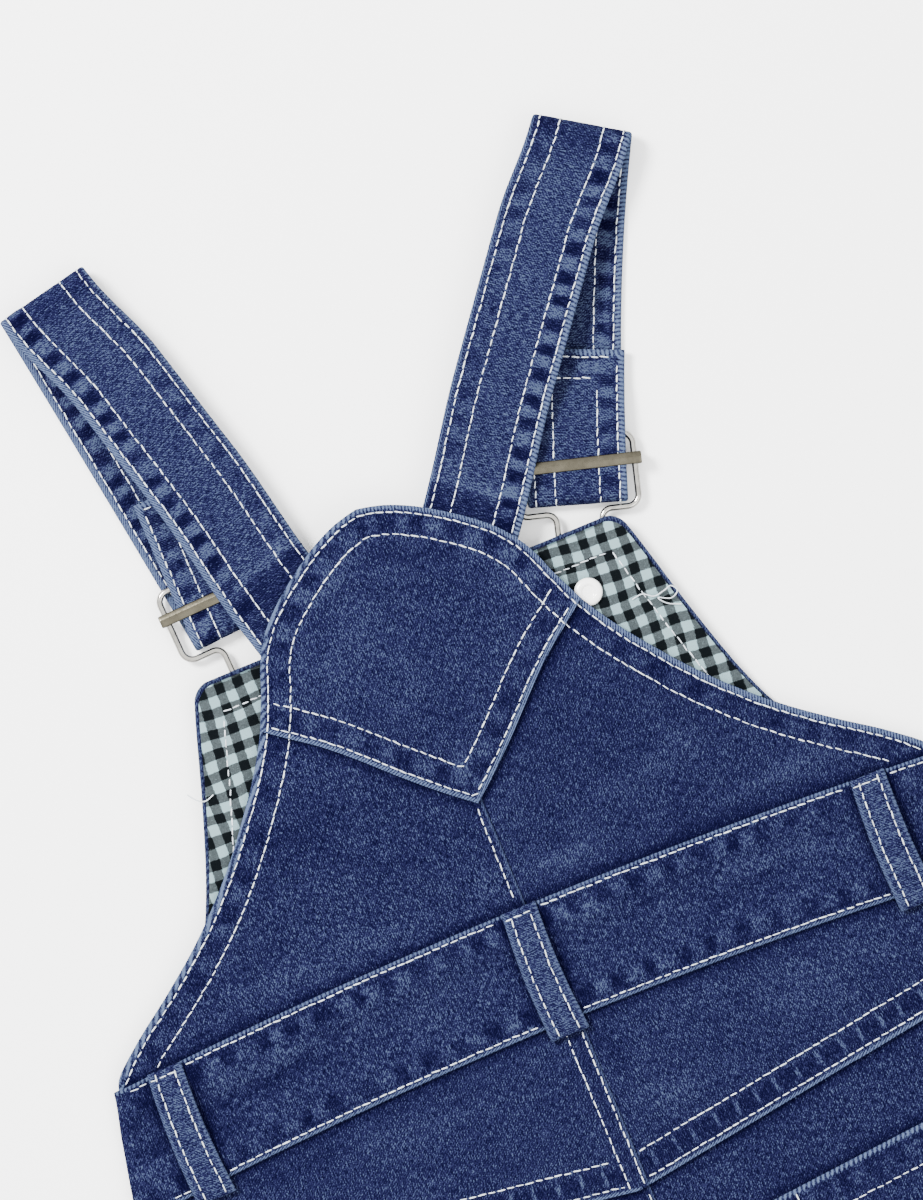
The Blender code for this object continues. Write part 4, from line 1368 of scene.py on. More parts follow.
def loop_height(middle):
    """The height of the loop's face at x and y: it arches over the band and is caught at both ends."""
    low, high = loop_ends(middle)
    outer = LAYER + GAP + LOOP_WALL

    def height(x, y):
        top = max(back_face(middle + side, min(y, 0.0), outer) for side in (-6.0, 0.0, 6.0))
        across = abs(x - middle) / (LOOP_WIDTH / 2)
        end_low, end_high = y - low, high - y
        caught = 0.7 * math.exp(-((end_high / 3.0) ** 2)) + 0.5 * math.exp(-((end_low / 1.2) ** 2))
        arch = 0.4 * ease(y, low, low + 12) * (1 - ease(y, high - 14, high))
        return top - 0.4 * min(across, 1.2) ** 4 - caught + arch

    return height


class OVERALLS_OT_bibs(bpy.types.Operator):
    """Makes the back bib with its patch, and the front bib with its lining"""

    bl_idname = "overalls.bibs"
    bl_label = "Bibs"

    def execute(self, context):
        step = context.scene.overalls_cloth.grid
        self.back(step)
        self.patch(step)
        self.front()
        return {"FINISHED"}

    def back(self, step):
        columns, levels = int(135 / step), int(125 / step)
        lap_up = LAP / math.cos(math.atan2(PATCH_SEAM_END[1] - PATCH_TIP_Y, PATCH_SEAM_END[0]))
        right = armhole_line(levels)
        for side, turn, start in (("right", 1, 0.1), ("left", -1, -BIB_LAP)):
            across = np.linspace(start, ARMHOLE_START[0], columns)
            bottom = np.array([(x, band_top(x) - LAP) for x in across])
            top = evenly([(start, PATCH_TIP_Y + lap_up), right[-1]], columns)
            bottom[-1] = right[0]
            rows = coons(bottom, top, evenly([bottom[0], top[0]], levels), right)
            seen = rows if turn > 0 else mirrored(rows)
            edges = [("armhole", armhole_line() * [turn, 1])]
            if turn < 0:
                edges.append(("fell", [(BIB_LAP, -10.0), (BIB_LAP, 60.0)]))
            piece = panel(
                f"back_bib_{side}_cloth",
                seen,
                lapped(back_face, turn, BIB_LAP),
                DENIM,
                finish("body denim"),
                edges,
                [patch_seam(), waist_line(band_top)],
                turn=90 - 5 * turn,
            )
            settle(piece, f"back_bib_{side}")

    def patch(self, step):
        columns, levels = int(62 / step), int(70 / step)
        seam_half = curve(PATCH_SEAM, columns)
        seam = np.concatenate([flipped(seam_half)[::-1][:-1], seam_half])
        top_half = curve(PATCH_TOP[:6], columns)
        top_half[0] = (0.0, PATCH_TOP_Y)
        top = np.concatenate([flipped(top_half)[::-1][:-1], top_half])
        side = curve([PATCH_SEAM_END, *reversed(PATCH_TOP[5:])], levels)
        rows = coons(seam, top, flipped(side), side)
        outline = bib_outline()
        outline = outline[outline[:, 1] > 80.0]
        piece = panel(
            "back_bib_patch_cloth",
            rows,
            lambda x, y: back_face(x, y, LAYER),
            DENIM,
            finish("patch denim"),
            [("patch", outline), ("patch", patch_seam())],
            turn=90,
        )
        settle(piece, "back_bib_patch")

    def front(self):
        denim, gingham = finish("inside denim"), finish("checked lining")
        rows = self.front_rows(0.0, GAP, 96, 60)
        piece = panel(
            "front_bib_cloth",
            rows,
            front_bib_underside,
            DENIM,
            denim,
            [("bib", self.outline_of(rows))],
            face_down=True,
            turn=90,
        )
        settle(piece, "front_bib")
        rows = self.front_rows(LINING_INSET, 2.0, 130, 60)
        piece = panel("front_bib_lining_cloth", rows, lining_top, LINING, gingham, turn=-3.7)
        settle(piece, "front_bib_lining")

    def front_rows(self, inset, low_offset, columns, levels):
        """Rows of the front bib from the waist up, taken in by inset at its free edges."""
        rows = []
        # The last rows lie closer together, round the corners
        top = 1 - BIB_CORNER / FRONT_BIB_TOP_Y
        angles = (15, 30, 45, 60, 73, 83, 90)
        corner = [top + (1 - top) * math.sin(math.radians(angle)) for angle in angles]
        for share in (*np.linspace(0, top, levels), *corner):
            level = share * (FRONT_BIB_TOP_Y - inset)
            half = read(FRONT_BIB_EDGE, max(level, 0.5)) - inset
            past = max(0.0, level - (FRONT_BIB_TOP_Y - inset - BIB_CORNER))
            half -= BIB_CORNER - math.sqrt(max(0.0, BIB_CORNER**2 - past**2))
            middle = FRONT_BIB_SHIFT * level / FRONT_BIB_TOP_Y
            row = []
            for x in np.linspace(middle - half, middle + half, columns + 1):
                row.append((x, level + (band_top(x) + low_offset) * (1 - share) ** 3))
            rows.append(row)
        return rows

    def outline_of(self, rows):
        """The free edge of those rows, up the left side, along the top and down the right side."""
        rows = np.array(rows)
        return np.concatenate([rows[:-1, 0], rows[-1], rows[-2::-1, -1]])


def turned_over(along, across, rise, at, radius, askew):
    """Where a point of a flat strip lies once the strip is turned under about a round of that radius.

    The fold is at that length along the strip, askew by that angle, and rise is the height over the
    middle of the strip's wall.
    """
    past = along - at
    over = past * math.cos(askew) - across * math.sin(askew)
    sideways = past * math.sin(askew) + across * math.cos(askew)
    angle = min(max(over / radius, 0.0), math.pi)
    reach = (radius + rise) * math.sin(angle)
    height = rise * math.cos(angle) - radius * (1 - math.cos(angle))
    reach += min(over, 0.0) - max(over - math.pi * radius, 0.0)
    return (
        at + reach * math.cos(askew) + sideways * math.sin(askew),
        sideways * math.cos(askew) - reach * math.sin(askew),
        height,
    )


def strap_end(strap):
    """The length along the strap at which it starts to turn round the buckle's wire."""
    return strap["upper_length"] + math.pi * SHOULDER_RADIUS + strap["lower_length"]


def strap_point(strap, along, across, rise):
    """Where a point of the flat strap lies. along runs from the patch and across to its right."""
    upper_length = strap["upper_length"]
    shoulder_turn = math.pi * SHOULDER_RADIUS
    end = strap_end(strap)
    arch = STRAP_ARCH * math.sin(math.pi * ease(along, 0.0, upper_length))
    bow = strap["bow"] * ease(upper_length - along, 0.0, 30.0) * (0.3 + 0.7 * ease(along, 0.0, 45.0))
    drop = (2 * BUCKLE_RADIUS - TAIL_LIES) * ease(along - end - math.pi * BUCKLE_RADIUS, *TAIL_DROP)
    askew = math.radians(strap["second_fold"])
    along, across, rise = turned_over(along, across, rise, end, BUCKLE_RADIUS, askew)
    rise += drop
    bent = along - upper_length - shoulder_turn
    if bent > 0:
        turn = strap["bend"] * bent
        along += math.sin(turn) / strap["bend"] - across * math.sin(turn) - bent
        across = (1 - math.cos(turn)) / strap["bend"] + across * math.cos(turn)
    askew = math.radians(strap["upper"] - strap["fold"])
    along, across, rise = turned_over(along, across, rise, upper_length, SHOULDER_RADIUS, askew)
    if rise > -SHOULDER_RADIUS:
        across += bow
    way = math.radians(strap["upper"])
    x, y = strap["base"]
    return Vector(
        (
            x + along * math.sin(way) + across * math.cos(way),
            y + along * math.cos(way) - across * math.sin(way),
            STRAP_WALL / 2 + 2 * SHOULDER_RADIUS + rise + arch,
        )
    )


def strap_slant(strap, at):
    """How far a cross-section leans at that length, so that it lies along the strap's folds."""
    upper, end = strap["upper_length"], strap_end(strap)
    shoulder = math.tan(math.radians(strap["upper"] - strap["fold"]))
    buckle = math.tan(math.radians(strap["second_fold"]))
    turned = end + math.pi * BUCKLE_RADIUS
    ends = (-STRAP_TUCK, upper, upper + math.pi * SHOULDER_RADIUS, end, turned, turned + STRAP_TAIL - 24.0)
    return float(np.interp(at, ends, (0.0, shoulder, shoulder, buckle, buckle, 0.0)))


class OVERALLS_OT_straps(bpy.types.Operator):
    """Makes the two straps, turned over at the shoulder and again inside the buckle"""

    bl_idname = "overalls.straps"
    bl_label = "Straps"

    def execute(self, context):
        step = context.scene.overalls_cloth.grid
        for name, strap in STRAPS.items():
            self.strap(name, strap, step)
        return {"FINISHED"}

    def strap(self, name, strap, step):
        """A closed ring of points at each station, which runs over the top face and back under it."""
        half, wall = STRAP_WIDTH / 2, STRAP_WALL / 2
        total = strap_end(strap) + math.pi * BUCKLE_RADIUS + STRAP_TAIL
        stations = np.linspace(-STRAP_TUCK, total, int((total + STRAP_TUCK) / step) + 1)
        flats = np.linspace(-half + 0.9, half - 0.9, 25)
        section = [(x, wall, 1) for x in flats]
        section += [(half - 0.25, wall - 0.25, 1), (half, wall - 0.7, 1), (half, 0.0, 1)]
        section += [(half, 0.7 - wall, -1), (half - 0.25, 0.25 - wall, -1)]
        section += [(x, -wall, -1) for x in flats[::-1]]
        section += [(0.25 - half, 0.25 - wall, -1), (-half, 0.7 - wall, -1), (-half, 0.0, -1)]
        section += [(-half, wall - 0.7, 1), (0.25 - half, wall - 0.25, 1)]
        points, distances, runs, sides, weave = [], [], [], [], []
        shift = 300.0 if name == "left" else 0.0
        for at in stations:
            slant = strap_slant(strap, at)
            for across, rise, face in section:
                along = at + across * slant
                edge = max(min(half - abs(across), total - along), 0.0)
                run = along + (41.0 if across < 0 else 0.0) + 13.0 * face + shift
                kind = "strap outside" if across * strap["outside"] > 0 else "strap inside"
                _, _, strength, length, middle = EDGES[kind]
                lift = 0.0
                if abs(rise) == wall:
                    strength *= math.exp(-(((edge - middle) / 2.5) ** 4))
                    lift = pucker(edge, run * math.tau / length, strength)
                points.append(strap_point(strap, along, across, rise + 0.7 * lift * face))
                distances.append(edge)
                runs.append(run)
                sides.append((kind == "strap outside", along))
                weave.append((across + shift + 50 * face, along, shift))
        distances, runs, sides = np.array(distances), np.array(runs), np.array(sides)
        seam, rub = wear("strap inside", distances, runs)
        outside = sides[:, 0] > 0.5
        seam_out, rub_out = wear("strap outside", distances, runs)
        seam[outside], rub[outside] = seam_out[outside], rub_out[outside]
        along = sides[:, 1]
        # Painted shade across the strap's base where it comes out from under the patch, a painted highlight
        # along a fold line just above it, and painted shade round the shoulder's fold
        base = np.exp(-(((along - 3.0) / 6.0) ** 4))
        rub[:, 2] += -0.30 * base + 0.22 * np.exp(-(((along - 10.5) / 1.5) ** 2))
        shoulder = along - strap["upper_length"]
        rub[:, 2] -= 0.16 * np.exp(-((shoulder / 5.0) ** 2))
        size = len(section)
        faces = []
        for j in range(len(stations) - 1):
            for k in range(size):
                a, b = j * size + k, j * size + (k + 1) % size
                faces.append((b, a, a + size, b + size))
        first = list(range(size))
        faces.append(tuple(first))
        faces.append(tuple(reversed([len(points) - size + k for k in first])))
        piece = new_object(
            f"strap_{name}_cloth",
            points,
            faces,
            {"seam": seam, "rub": rub, "weave": weave},
            finish("strap denim"),
        )
        recalculate(piece)
        settle(piece, f"strap_{name}")


def recalculate(piece):
    """Turns all the piece's faces outwards."""
    bpy.ops.object.select_all(action="DESELECT")
    piece.select_set(True)
    bpy.context.view_layer.objects.active = piece
    bpy.ops.object.mode_set(mode="EDIT")
    bpy.ops.mesh.select_all(action="SELECT")
    bpy.ops.mesh.normals_make_consistent(inside=False)
    bpy.ops.object.mode_set(mode="OBJECT")
    piece.select_set(False)


# Buckles and buttons


def rounded(corners, steps=10):
    """A line through the corners, each row (x, y, radius), with an arc in place of each corner."""
    line = []
    for k, (x, y, radius) in enumerate(corners):
        here = Vector((x, y))
        before = (Vector(corners[k - 1][:2]) - here).normalized()
        after = (Vector(corners[(k + 1) % len(corners)][:2]) - here).normalized()
        half = before.angle(after) / 2
        centre = here + (before + after).normalized() * (radius / math.sin(half))
        start, end = (here + way * (radius / math.tan(half)) - centre for way in (before, after))
        sweep = start.angle_signed(end)
        line += [centre + Matrix.Rotation(-sweep * i / steps, 2) @ start for i in range(steps + 1)]
    return line


def buckle_place(strap):
    """Puts a shape drawn about the button, with the strap along +Y, where that strap's buckle is."""
    turn = Matrix.Rotation(-math.radians(strap["buckle"]), 4, "Z")
    slip = Matrix.Translation((0, strap["slip"] * MM, 0))
    x, y = strap["button"]
    return Matrix.Translation(Vector((x, y + WAIST_AT, 0)) * MM) @ turn @ slip


def place_mesh(piece, matrix):
    """Moves the piece's mesh, and leaves its object at the origin."""
    piece.matrix_world = Matrix.Identity(4)
    piece.data.transform(matrix)
    piece.data.update()


def added(operator, name, **settings):
    """The object that a primitive operator adds, with nothing else selected."""
    bpy.ops.object.select_all(action="DESELECT")
    operator(**settings)
    piece = bpy.context.active_object
    piece.name = piece.data.name = name
    return piece


def pick_faces(piece, wanted):
    """Selects the faces whose middle passes the test wanted, in edit mode."""
    mesh = bmesh.from_edit_mesh(piece.data)
    for face in mesh.faces:
        face.select_set(False)
    for face in mesh.faces:
        if wanted(face.calc_center_median()):
            face.select_set(True)
    bmesh.update_edit_mesh(piece.data)


def push(step):
    """Extrudes the selected faces by that step."""
    bpy.ops.mesh.extrude_region_move(TRANSFORM_OT_translate={"value": step})


def wire_piece(name, points, radius, cyclic, finish_name):
    """A round wire along these points, made from a curve. points are in millimetres."""
    data = bpy.data.curves.new(name, "CURVE")
    data.dimensions = "3D"
    data.bevel_depth = radius * MM
    data.bevel_resolution = 5
    data.use_fill_caps = True
    line = data.splines.new("POLY")
    line.use_cyclic_u = cyclic
    line.points.add(len(points) - 1)
    for point, place in zip(line.points, points):
        point.co = (*(Vector(place) * MM), 1.0)
    piece = bpy.data.objects.new(name, data)
    bpy.context.scene.collection.objects.link(piece)
    bpy.ops.object.select_all(action="DESELECT")
    piece.select_set(True)
    bpy.context.view_layer.objects.active = piece
    bpy.ops.object.convert(target="MESH")
    piece = bpy.context.view_layer.objects.active
    piece.data.shade_smooth()
    piece.data.materials.clear()
    piece.data.materials.append(finish(finish_name))
    piece.select_set(False)
    return piece


class OVERALLS_OT_buckles(bpy.types.Operator):
    """Makes the wire buckles, their slides, the bib buttons and the buttons' white backs"""

    bl_idname = "overalls.buckles"
    bl_label = "Buckles"

    def execute(self, context):
        for name, strap in STRAPS.items():
            self.wire(name, strap)
            self.slide(name, strap)
            self.button(name, strap)
            self.back(name, strap)
        return {"FINISHED"}

    def wire(self, name, strap):
        outline = rounded(
            (
                (FRAME_HALF, FRAME_TOP, FRAME_CORNER),
                (FRAME_HALF, FRAME_LOW, FRAME_CORNER),
                (NECK_HALF, FRAME_LOW, NECK_CORNER),
                (NECK_HALF, -NECK_HALF, NECK_HALF - 0.01),
                (-NECK_HALF, -NECK_HALF, NECK_HALF - 0.01),
                (-NECK_HALF, FRAME_LOW, NECK_CORNER),
                (-FRAME_HALF, FRAME_LOW, FRAME_CORNER),
                (-FRAME_HALF, FRAME_TOP, FRAME_CORNER),
            )
        )
        points = [(p.x, p.y, WIRE_HEIGHT) for p in outline]
        piece = wire_piece(f"buckle_wire_{name}_metal", points, WIRE / 2, True, "nickel wire")
        place_mesh(piece, buckle_place(strap))
        settle(piece, f"buckle_wire_{name}")

    def slide(self, name, strap):
        """A ridged bar with its two ends bent down and in round the sides of the wire."""
        tiny = 1e-5
        inside = (FRAME_HALF + WIRE / 2 + GAP) * MM
        sheet, depth, top = SLIDE_SHEET * MM, SLIDE_DEPTH * MM, SLIDE_TOP * MM
        piece = added(bpy.ops.mesh.primitive_cube_add, f"buckle_slide_{name}_metal", size=1.0)
        bpy.ops.object.mode_set(mode="EDIT")
        bpy.ops.mesh.select_all(action="SELECT")
        bpy.ops.transform.resize(value=(2 * inside, depth, sheet))
        bpy.ops.transform.translate(value=(0, SLIDE_AT * MM, top - sheet / 2))
        for side in (-1, 1):
            pick_faces(piece, lambda c: c.x * side > inside - tiny)
            push((side * sheet, 0, 0))
            pick_faces(piece, lambda c: c.x * side > inside + tiny and c.z < top - 0.9 * sheet)
            push((0, 0, SLIDE_LOW * MM + 2 * sheet - top))
            push((0, 0, -sheet))
            pick_faces(piece, lambda c: abs(c.x * side - inside) < tiny and c.z < SLIDE_LOW * MM + sheet)
            push((-side * (SLIDE_LIP * MM - sheet), 0, 0))
        bpy.ops.mesh.select_all(action="SELECT")
        ridge = (0, (SLIDE_AT + SLIDE_RIDGE_OFF) * MM, 0)
        bpy.ops.mesh.bisect(plane_co=ridge, plane_no=(0, 1, 0))
        bpy.ops.object.mode_set(mode="OBJECT")
        for vertex in piece.data.vertices:
            vertex.select = vertex.co.z > top - 1.5 * sheet and abs(vertex.co.y - SLIDE_AT * MM) > 0.001
        for edge in piece.data.edges:
            edge.select = all(piece.data.vertices[k].select for k in edge.vertices)
        bpy.ops.object.mode_set(mode="EDIT")
        bpy.ops.transform.translate(value=(0, 0, -SLIDE_RIDGE * MM))
        bpy.ops.object.mode_set(mode="OBJECT")
        piece.data.materials.append(finish("nickel slide"))
        bevel = piece.modifiers.new("rounded", "BEVEL")
        bevel.width = 0.28 * MM
        bevel.segments = 3
        bevel.use_clamp_overlap = True
        apply_modifiers(piece)
        piece.data.shade_smooth()
        place_mesh(piece, buckle_place(strap))
        settle(piece, f"buckle_slide_{name}")

    def turned(self, name, profile, centre, finish_name):
        """A round piece, pushed out of a disc ring by ring. profile is its outline (radius, height)."""
        radius, z = profile[0]
        x, y = centre
        piece = added(
            bpy.ops.mesh.primitive_circle_add,
            name,
            vertices=48,
            radius=radius * MM,
            fill_type="NGON",
            location=(x * MM, (y + WAIST_AT) * MM, z * MM),
        )
        bpy.ops.object.mode_set(mode="EDIT")
        bpy.ops.mesh.select_all(action="SELECT")
        for next_radius, next_z in profile[1:]:
            push((0, 0, (next_z - z) * MM))
            bpy.ops.transform.resize(value=(next_radius / radius, next_radius / radius, 1))
            radius, z = next_radius, next_z
        bpy.ops.mesh.select_all(action="SELECT")
        bpy.ops.mesh.normals_make_consistent(inside=False)
        bpy.ops.object.mode_set(mode="OBJECT")
        bpy.ops.object.transform_apply(location=True, rotation=True, scale=True)
        piece.data.shade_smooth()
        piece.data.materials.append(finish(finish_name))
        piece.select_set(False)
        return piece

    def button(self, name, strap):
        cap = BUTTON_RADIUS
        profile = (
            (2.0, 0.45), (2.3, 0.0), (cap - 2.2, 0.0), (cap - 1.9, 0.3), (cap - 1.2, 0.12),
            (cap - 0.5, 0.25), (cap - 0.1, 0.6), (cap, 1.0), (cap - 0.2, 1.6), (cap - 0.7, BUTTON_THICK),
            (SHANK_RADIUS + 0.4, BUTTON_THICK), (SHANK_RADIUS, BUTTON_THICK + 0.4),
            (SHANK_RADIUS, FRONT_BIB_LIFT - GAP),
        )
        piece = self.turned(f"bib_button_{name}_metal", profile, strap["button"], "nickel wire")
        settle(piece, f"bib_button_{name}")

    def back(self, name, strap):
        low = FRONT_BIB_LIFT + LAYER + LINING + GAP
        top = low + TACK_THICK
        radius = TACK_RADIUS
        profile = (
            (radius - 0.5, low), (radius - 0.1, low + 0.2), (radius, low + 0.5),
            (radius - 0.15, low + 0.9), (radius - 0.6, top - 0.25), (radius - 1.2, top - 0.05),
            (radius - 1.7, top), (radius - 2.1, top - 0.1), (radius - 2.4, top - 0.4),
            (radius - 2.7, top - 0.55), (0.8, top - 0.55),
        )
        piece = self.turned(f"button_back_{name}_plastic", profile, strap["button"], "white snap")
        settle(piece, f"button_back_{name}")


# Sewing


class Sewing:
    """Gathers stitches, each a short rounded run of thread, into one mesh."""

    def __init__(self, sewing, seed):
        self.points = []
        self.faces = []
        self.sewing = sewing
        self.random = random.Random(seed)
        # Rings of a stitch from end to end, each row (share of half the length, share of the width)
        self.rings = ((-0.96, 0.45), (-0.72, 0.9), (0.0, 1.0), (0.72, 0.9), (0.96, 0.45))

    def stitch(self, middle, way, up, length, width):
        side = way.cross(up).normalized()
        up = side.cross(way)
        start = len(self.points)
        for share, size in self.rings:
            centre = middle + way * (share * length / 2) + up * (0.10 - 0.22 * share**4)
            for k in range(6):
                angle = math.tau * k / 6
                reach = side * math.cos(angle) * width / 2 + up * math.sin(angle) * width * 0.42
                self.points.append(centre + reach * size)
        for j in range(len(self.rings) - 1):
            for k in range(6):
                n = (k + 1) % 6
                a, b = start + j * 6, start + (j + 1) * 6
                self.faces.append((a + k, a + n, b + n, b + k))
        last = start + (len(self.rings) - 1) * 6
        self.faces.append(tuple(start + k for k in range(6)))
        self.faces.append(tuple(last + k for k in reversed(range(6))))

    def line(self, places, pitch=None):
        """Sews along the places, each (point, up)."""
        points = np.array([tuple(p) for p, _ in places])
        ups = np.array([tuple(u) for _, u in places])
        lengths = np.concatenate([[0.0], np.cumsum(np.linalg.norm(np.diff(points, axis=0), axis=1))])
        pitch = pitch or self.sewing.pitch
        at = pitch * 0.5
        while at < lengths[-1] - pitch * 0.4:
            length = self.sewing.stitch * self.random.uniform(0.80, 1.12) * pitch / self.sewing.pitch

            def along(s):
                return Vector([np.interp(s, lengths, column) for column in points.T])

            up = Vector([np.interp(at, lengths, column) for column in ups.T])
            way = (along(at + length / 2) - along(at - length / 2)).normalized()
            side = way.cross(up).normalized()
            way = (way + side * self.random.uniform(-0.03, 0.13)).normalized()
            middle = along(at) + side * self.random.uniform(-0.12, 0.12)
            width = self.sewing.thread * self.random.uniform(0.82, 1.18)
            self.stitch(middle, way, up, length, width)
            at += pitch * self.random.uniform(0.95, 1.05)

    def on_face(self, line, height, count=None):
        """Sews along a flat line, on the face whose height at x and y is height(x, y)."""
        line = np.array(line, float)
        length = np.linalg.norm(np.diff(line, axis=0), axis=1).sum()
        line = evenly(line, count or max(3, int(length / 1.5)))
        places = []
        for x, y in line:
            z = height(x, y)
            up = Vector((z - height(x + 0.5, y), z - height(x, y + 0.5), 0.5)).normalized()
            places.append((Vector((x, y, z)), up))
        self.line(places)

    def finished(self, name):
        piece = new_object(name, [tuple(p) for p in self.points], self.faces, finish=finish("stitch thread"))
        recalculate(piece)
        return settle(piece)


class OVERALLS_OT_sewing(bpy.types.Operator):
    """Sews the rows of stitches, one small thread at a time"""

    bl_idname = "overalls.sewing"
    bl_label = "Sewing"

    def execute(self, context):
        self.sewing = context.scene.overalls_sewing
        self.bib()
        self.band()
        self.seat()
        self.straps()
        self.lining()
        return {"FINISHED"}

    def bib(self):
        sewn = Sewing(self.sewing, 11)

        def top_face(x, y):
            return back_face(x, y, LAYER if over_patch(x, y) else 0.0)

        outline = bib_outline()
        for distance in (FIRST_ROW, SECOND_ROW):
            line = beside(outline, -distance)
            line = np.array([p for p in line if p[1] > band_top(p[0]) + 0.5])
            sewn.on_face(line, top_face)
        for distance in (1.9, 9.4):
            line = patch_seam(offset=distance)
            reach = 51.0 if distance < 5 else 47.5
            line = line[np.abs(line[:, 0]) < reach]
            sewn.on_face(line, lambda x, y: back_face(x, y, LAYER))
        sewn.on_face([(-0.9, 38.0), (-1.3, 6.5)], lambda x, y: back_face(x, y) + 0.4)
        sewn.finished("bib_stitches")

    def band(self):
        sewn = Sewing(self.sewing, 23)

        def face(x, y):
            return back_face(x, y, LAYER)

        def front(x, y):
            return front_face(x, y, LAYER)

        ends = [-140.0, *[x for _, x in LOOPS], 140.0]
        for left, right in zip(ends, ends[1:]):
            xs = np.linspace(left + 6.5, right - 6.5, 60)
            xs = xs[np.abs(xs) < 137.5]
            sewn.on_face([(x, band_top(x) - 1.7) for x in xs], face)
            sewn.on_face([(x, band_bottom(x) + 1.7) for x in xs], face)
        for _, middle in LOOPS:
            bottom, high = loop_ends(middle)
            face = loop_height(middle)
            for share in (-0.27, 0.27):
                line = [(loop_x(middle, share, y), y) for y in np.linspace(bottom + 0.8, high - 0.6, 30)]
                sewn.on_face(line, face)
            sewn.on_face([(middle - 5.6, high - 2.4), (middle + 5.6, high - 2.2)], face)
        sewn.finished("waistband_stitches")

    def seat(self):
        sewn = Sewing(self.sewing, 37)

        def yoke(x, y):
            return back_face(x, y, LAYER)

        def upper_yoke(x, y):
            share = (y - yoke_edge(x)) / (band_bottom(x) - yoke_edge(x))
            first = (LAP + 1.6) / (band_bottom(x) - yoke_edge(x))
            sunk = 0.45 * ease(share, first, 0.6) + 0.55 * ease(share, 0.6, 0.96)
            return back_face(x, y, LAYER * (1 - sunk))

        for offset in (2.2, 10.6):
            for side in (-1, 1):
                start = SEAT_LAP + 0.6 if side > 0 else -SEAT_LAP
                line = [(side * x, yoke_edge(max(x, 0.0)) + offset) for x in np.linspace(start, 150.0, 60)]
                sewn.on_face(line, yoke if offset < 5 else upper_yoke)
        for x in (-2.4, 2.4):
            on_yoke = [(x, yoke_edge(3) + 0.8), (x, band_bottom(0) - 0.5)]
            sewn.on_face(on_yoke, lambda x, y: upper_yoke(x, y) + LAP_OVER)
            on_seat = [(x, CROTCH_Y + 34.0), (x, YOKE_MIDDLE_Y - 0.6)]
            sewn.on_face(on_seat, lambda x, y: back_face(x, y) + LAP_OVER)
        for side in (-1, 1):
            for distance in (1.9, 8.2):
                line = beside(POCKET_SEWN, distance)
                line[0, 1] = POCKET_TOP_INNER[1] - 0.6
                line[-1, 1] = POCKET_TOP_OUTER[1] - 0.6
                sewn.on_face(line * [side, 1], yoke)
            hem = beside([POCKET_TOP_INNER, POCKET_TOP_OUTER], -11.4)
            hem[0, 0] += 0.8
            hem[1, 0] -= 0.8
            sewn.on_face(hem * [side, 1], yoke)
            leg_hem = [(side * 38.5, HEM_Y + 14.0), (side * 148.0, HEM_Y + 14.0)]
            sewn.on_face(leg_hem, back_face)
        sewn.finished("seat_stitches")

    def straps(self):
        for name, strap in STRAPS.items():
            sewn = Sewing(self.sewing, 41 if name == "left" else 43)
            half, wall = STRAP_WIDTH / 2, STRAP_WALL / 2
            total = strap_end(strap) + math.pi * BUCKLE_RADIUS + STRAP_TAIL
            for face in (1, -1):
                rows = ((-half + 2.4, 2.2), (-half + 8.6, 9.0), (half - 8.6, 9.0), (half - 2.4, 2.2))
                for across, short in rows:
                    places = []
                    for at in np.arange(-9.0, total - short, 1.5):
                        along = at + across * strap_slant(strap, at)
                        here = strap_point(strap, along, across, wall * face)
                        inner = strap_point(strap, along, across, 0.0)
                        places.append((here, (here - inner).normalized()))
                    sewn.line(places)
                for from_end, inset in ((2.4, 2.4), (9.0, 8.6)):
                    places = []
                    for across in np.arange(inset - half, half - inset + 0.1, 1.5):
                        here = strap_point(strap, total - from_end, across, wall * face)
                        inner = strap_point(strap, total - from_end, across, 0.0)
                        places.append((here, (here - inner).normalized()))
                    sewn.line(places)
            sewn.finished(f"strap_{name}_stitches")

    def lining(self):
        sewn = Sewing(self.sewing, 53)
        rows = []
        for level in np.linspace(6.0, 95.0, 40):
            half = read(FRONT_BIB_EDGE, level) - 9.4
            middle = FRONT_BIB_SHIFT * level / FRONT_BIB_TOP_Y
            rows.append((middle - half, middle + half, level))
        left = np.array([(a, y) for a, _, y in rows])
        right = np.array([(b, y) for _, b, y in rows])
        across = [(rows[-1][0], 95.5), (rows[-1][1], 95.5)]
        for line in (left, right, across):
            sewn.on_face(line, lining_top)
        sewn.finished("lining_stitches")
        top = lining_top(70.0, 80.0) + 0.3
        # Each row (name, points), a thread that the machine left loose
        for name, points in LOOSE_THREADS:
            line = curve([(x, y, top + rise) for x, y, rise in points], 60)
            piece = wire_piece(name, [tuple(p) for p in line], 0.19, False, "stitch thread")
            place_mesh(piece, Matrix.Translation((0, WAIST_AT * MM, 0)))
            settle(piece)


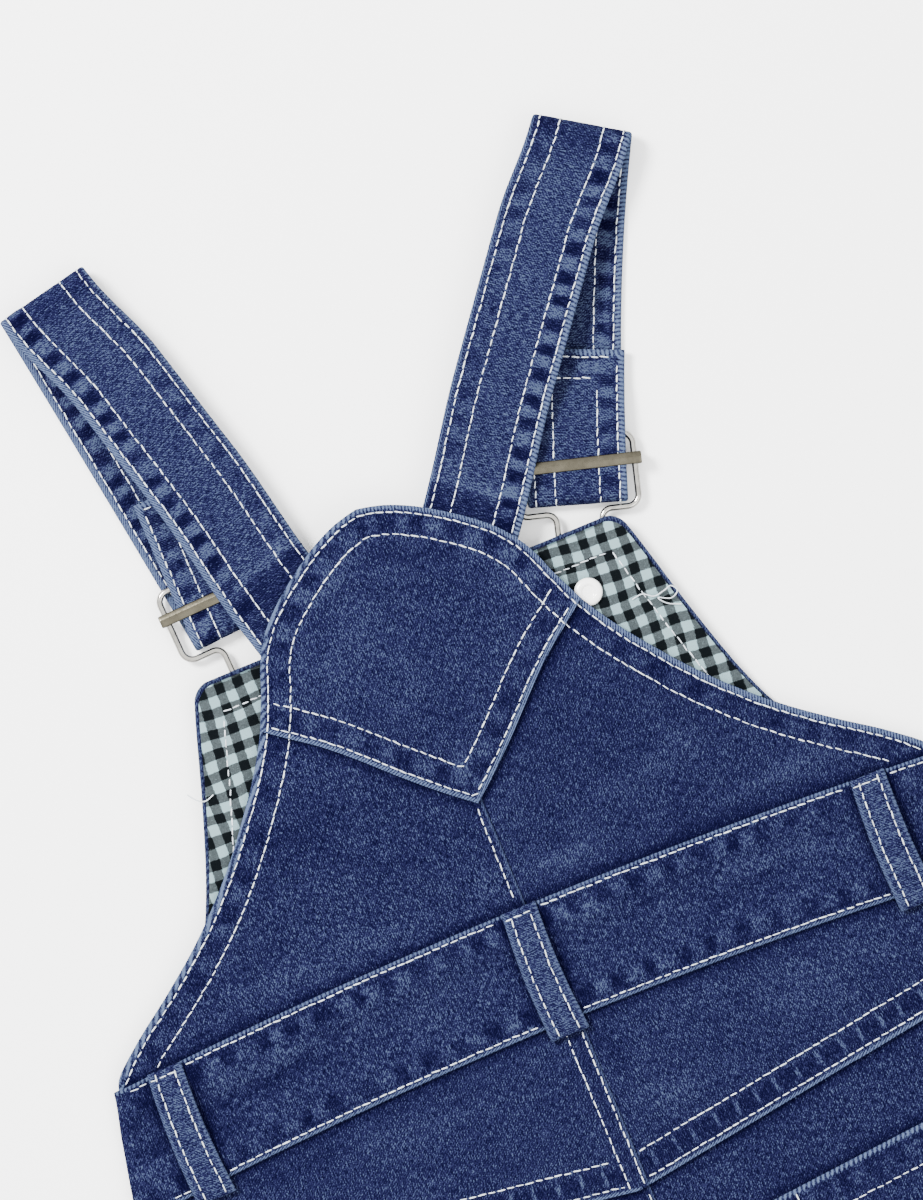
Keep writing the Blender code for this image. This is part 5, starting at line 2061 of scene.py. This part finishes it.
class OVERALLS_OT_stage(bpy.types.Operator):
    """Sets up the pale floor, the soft light and the camera straight above"""

    bl_idname = "overalls.stage"
    bl_label = "Stage"

    def execute(self, context):
        stage = context.scene.overalls_stage
        bpy.ops.object.select_all(action="DESELECT")
        bpy.ops.mesh.primitive_plane_add(size=FLOOR_SIZE, location=(0, 0, -FLOOR_BELOW))
        floor = context.active_object
        floor.name = "floor"
        floor.data.materials.append(finish("pale floor"))

        world = bpy.data.worlds.new("even light")
        world.use_nodes = True
        g = Graph(world.node_tree)
        background = world.node_tree.nodes["Background"]
        direction = g.node("ShaderNodeTexCoord").outputs["Generated"]
        upward = g.node("ShaderNodeSeparateXYZ", {"Vector": direction}).outputs[2]
        g.put(background.inputs["Color"], g.ramp(upward, SKY_SHADES))
        background.inputs["Strength"].default_value = stage.sky
        context.scene.world = world

        turn = Matrix.Rotation(-math.radians(VIEW_TURN), 3, "Z")
        middle = Vector((VIEW_MIDDLE[0], VIEW_MIDDLE[1] + WAIST_AT, 0)) * MM
        for name, place, size, share in LAMPS:
            light = bpy.data.lights.new(name, "AREA")
            light.shape = "DISK"
            light.size = size
            light.energy = stage.key * share
            lamp = bpy.data.objects.new(name, light)
            context.scene.collection.objects.link(lamp)
            lamp.location = middle + turn @ Vector(place)
            lamp.rotation_euler = (middle - lamp.location).to_track_quat("-Z", "Y").to_euler()

        camera = bpy.data.cameras.new("camera")
        # The sensor's 36 mm lie along the picture's height
        camera.lens = 36.0 * stage.height / (VIEW_HEIGHT * MM)
        camera.clip_end = 20.0
        eye = bpy.data.objects.new("camera", camera)
        context.scene.collection.objects.link(eye)
        eye.location = middle + Vector((0, 0, stage.height))
        eye.rotation_euler = (0, 0, -math.radians(VIEW_TURN))
        context.scene.camera = eye
        return {"FINISHED"}


OPERATORS = (
    OVERALLS_OT_stage,
    OVERALLS_OT_legs,
    OVERALLS_OT_waistband,
    OVERALLS_OT_bibs,
    OVERALLS_OT_straps,
    OVERALLS_OT_buckles,
    OVERALLS_OT_sewing,
)


class OVERALLS_PT_sidebar(bpy.types.Panel):
    """Lists the steps and their settings"""

    bl_idname = "OVERALLS_PT_sidebar"
    bl_label = "Overalls"
    bl_space_type = "VIEW_3D"
    bl_region_type = "UI"
    bl_category = "Overalls"

    def draw(self, context):
        for group in GROUPS:
            settings = getattr(context.scene, group)
            for key in type(settings).__annotations__:
                self.layout.prop(settings, key)
        for operator in OPERATORS:
            self.layout.operator(operator.bl_idname)


GROUPS = {
    "overalls_cloth": OverallsCloth,
    "overalls_sewing": OverallsSewing,
    "overalls_stage": OverallsStage,
}


def register():
    for made in (*GROUPS.values(), *OPERATORS, OVERALLS_PT_sidebar):
        bpy.utils.register_class(made)
    for key, group in GROUPS.items():
        setattr(bpy.types.Scene, key, PointerProperty(type=group))


def unregister():
    for key in GROUPS:
        delattr(bpy.types.Scene, key)
    for made in reversed((*GROUPS.values(), *OPERATORS, OVERALLS_PT_sidebar)):
        bpy.utils.unregister_class(made)


def main():
    register()
    bpy.ops.overalls.stage()
    bpy.ops.overalls.legs()
    bpy.ops.overalls.waistband()
    bpy.ops.overalls.bibs()
    bpy.ops.overalls.straps()
    bpy.ops.overalls.buckles()
    bpy.ops.overalls.sewing()


if __name__ == "__main__":
    main()
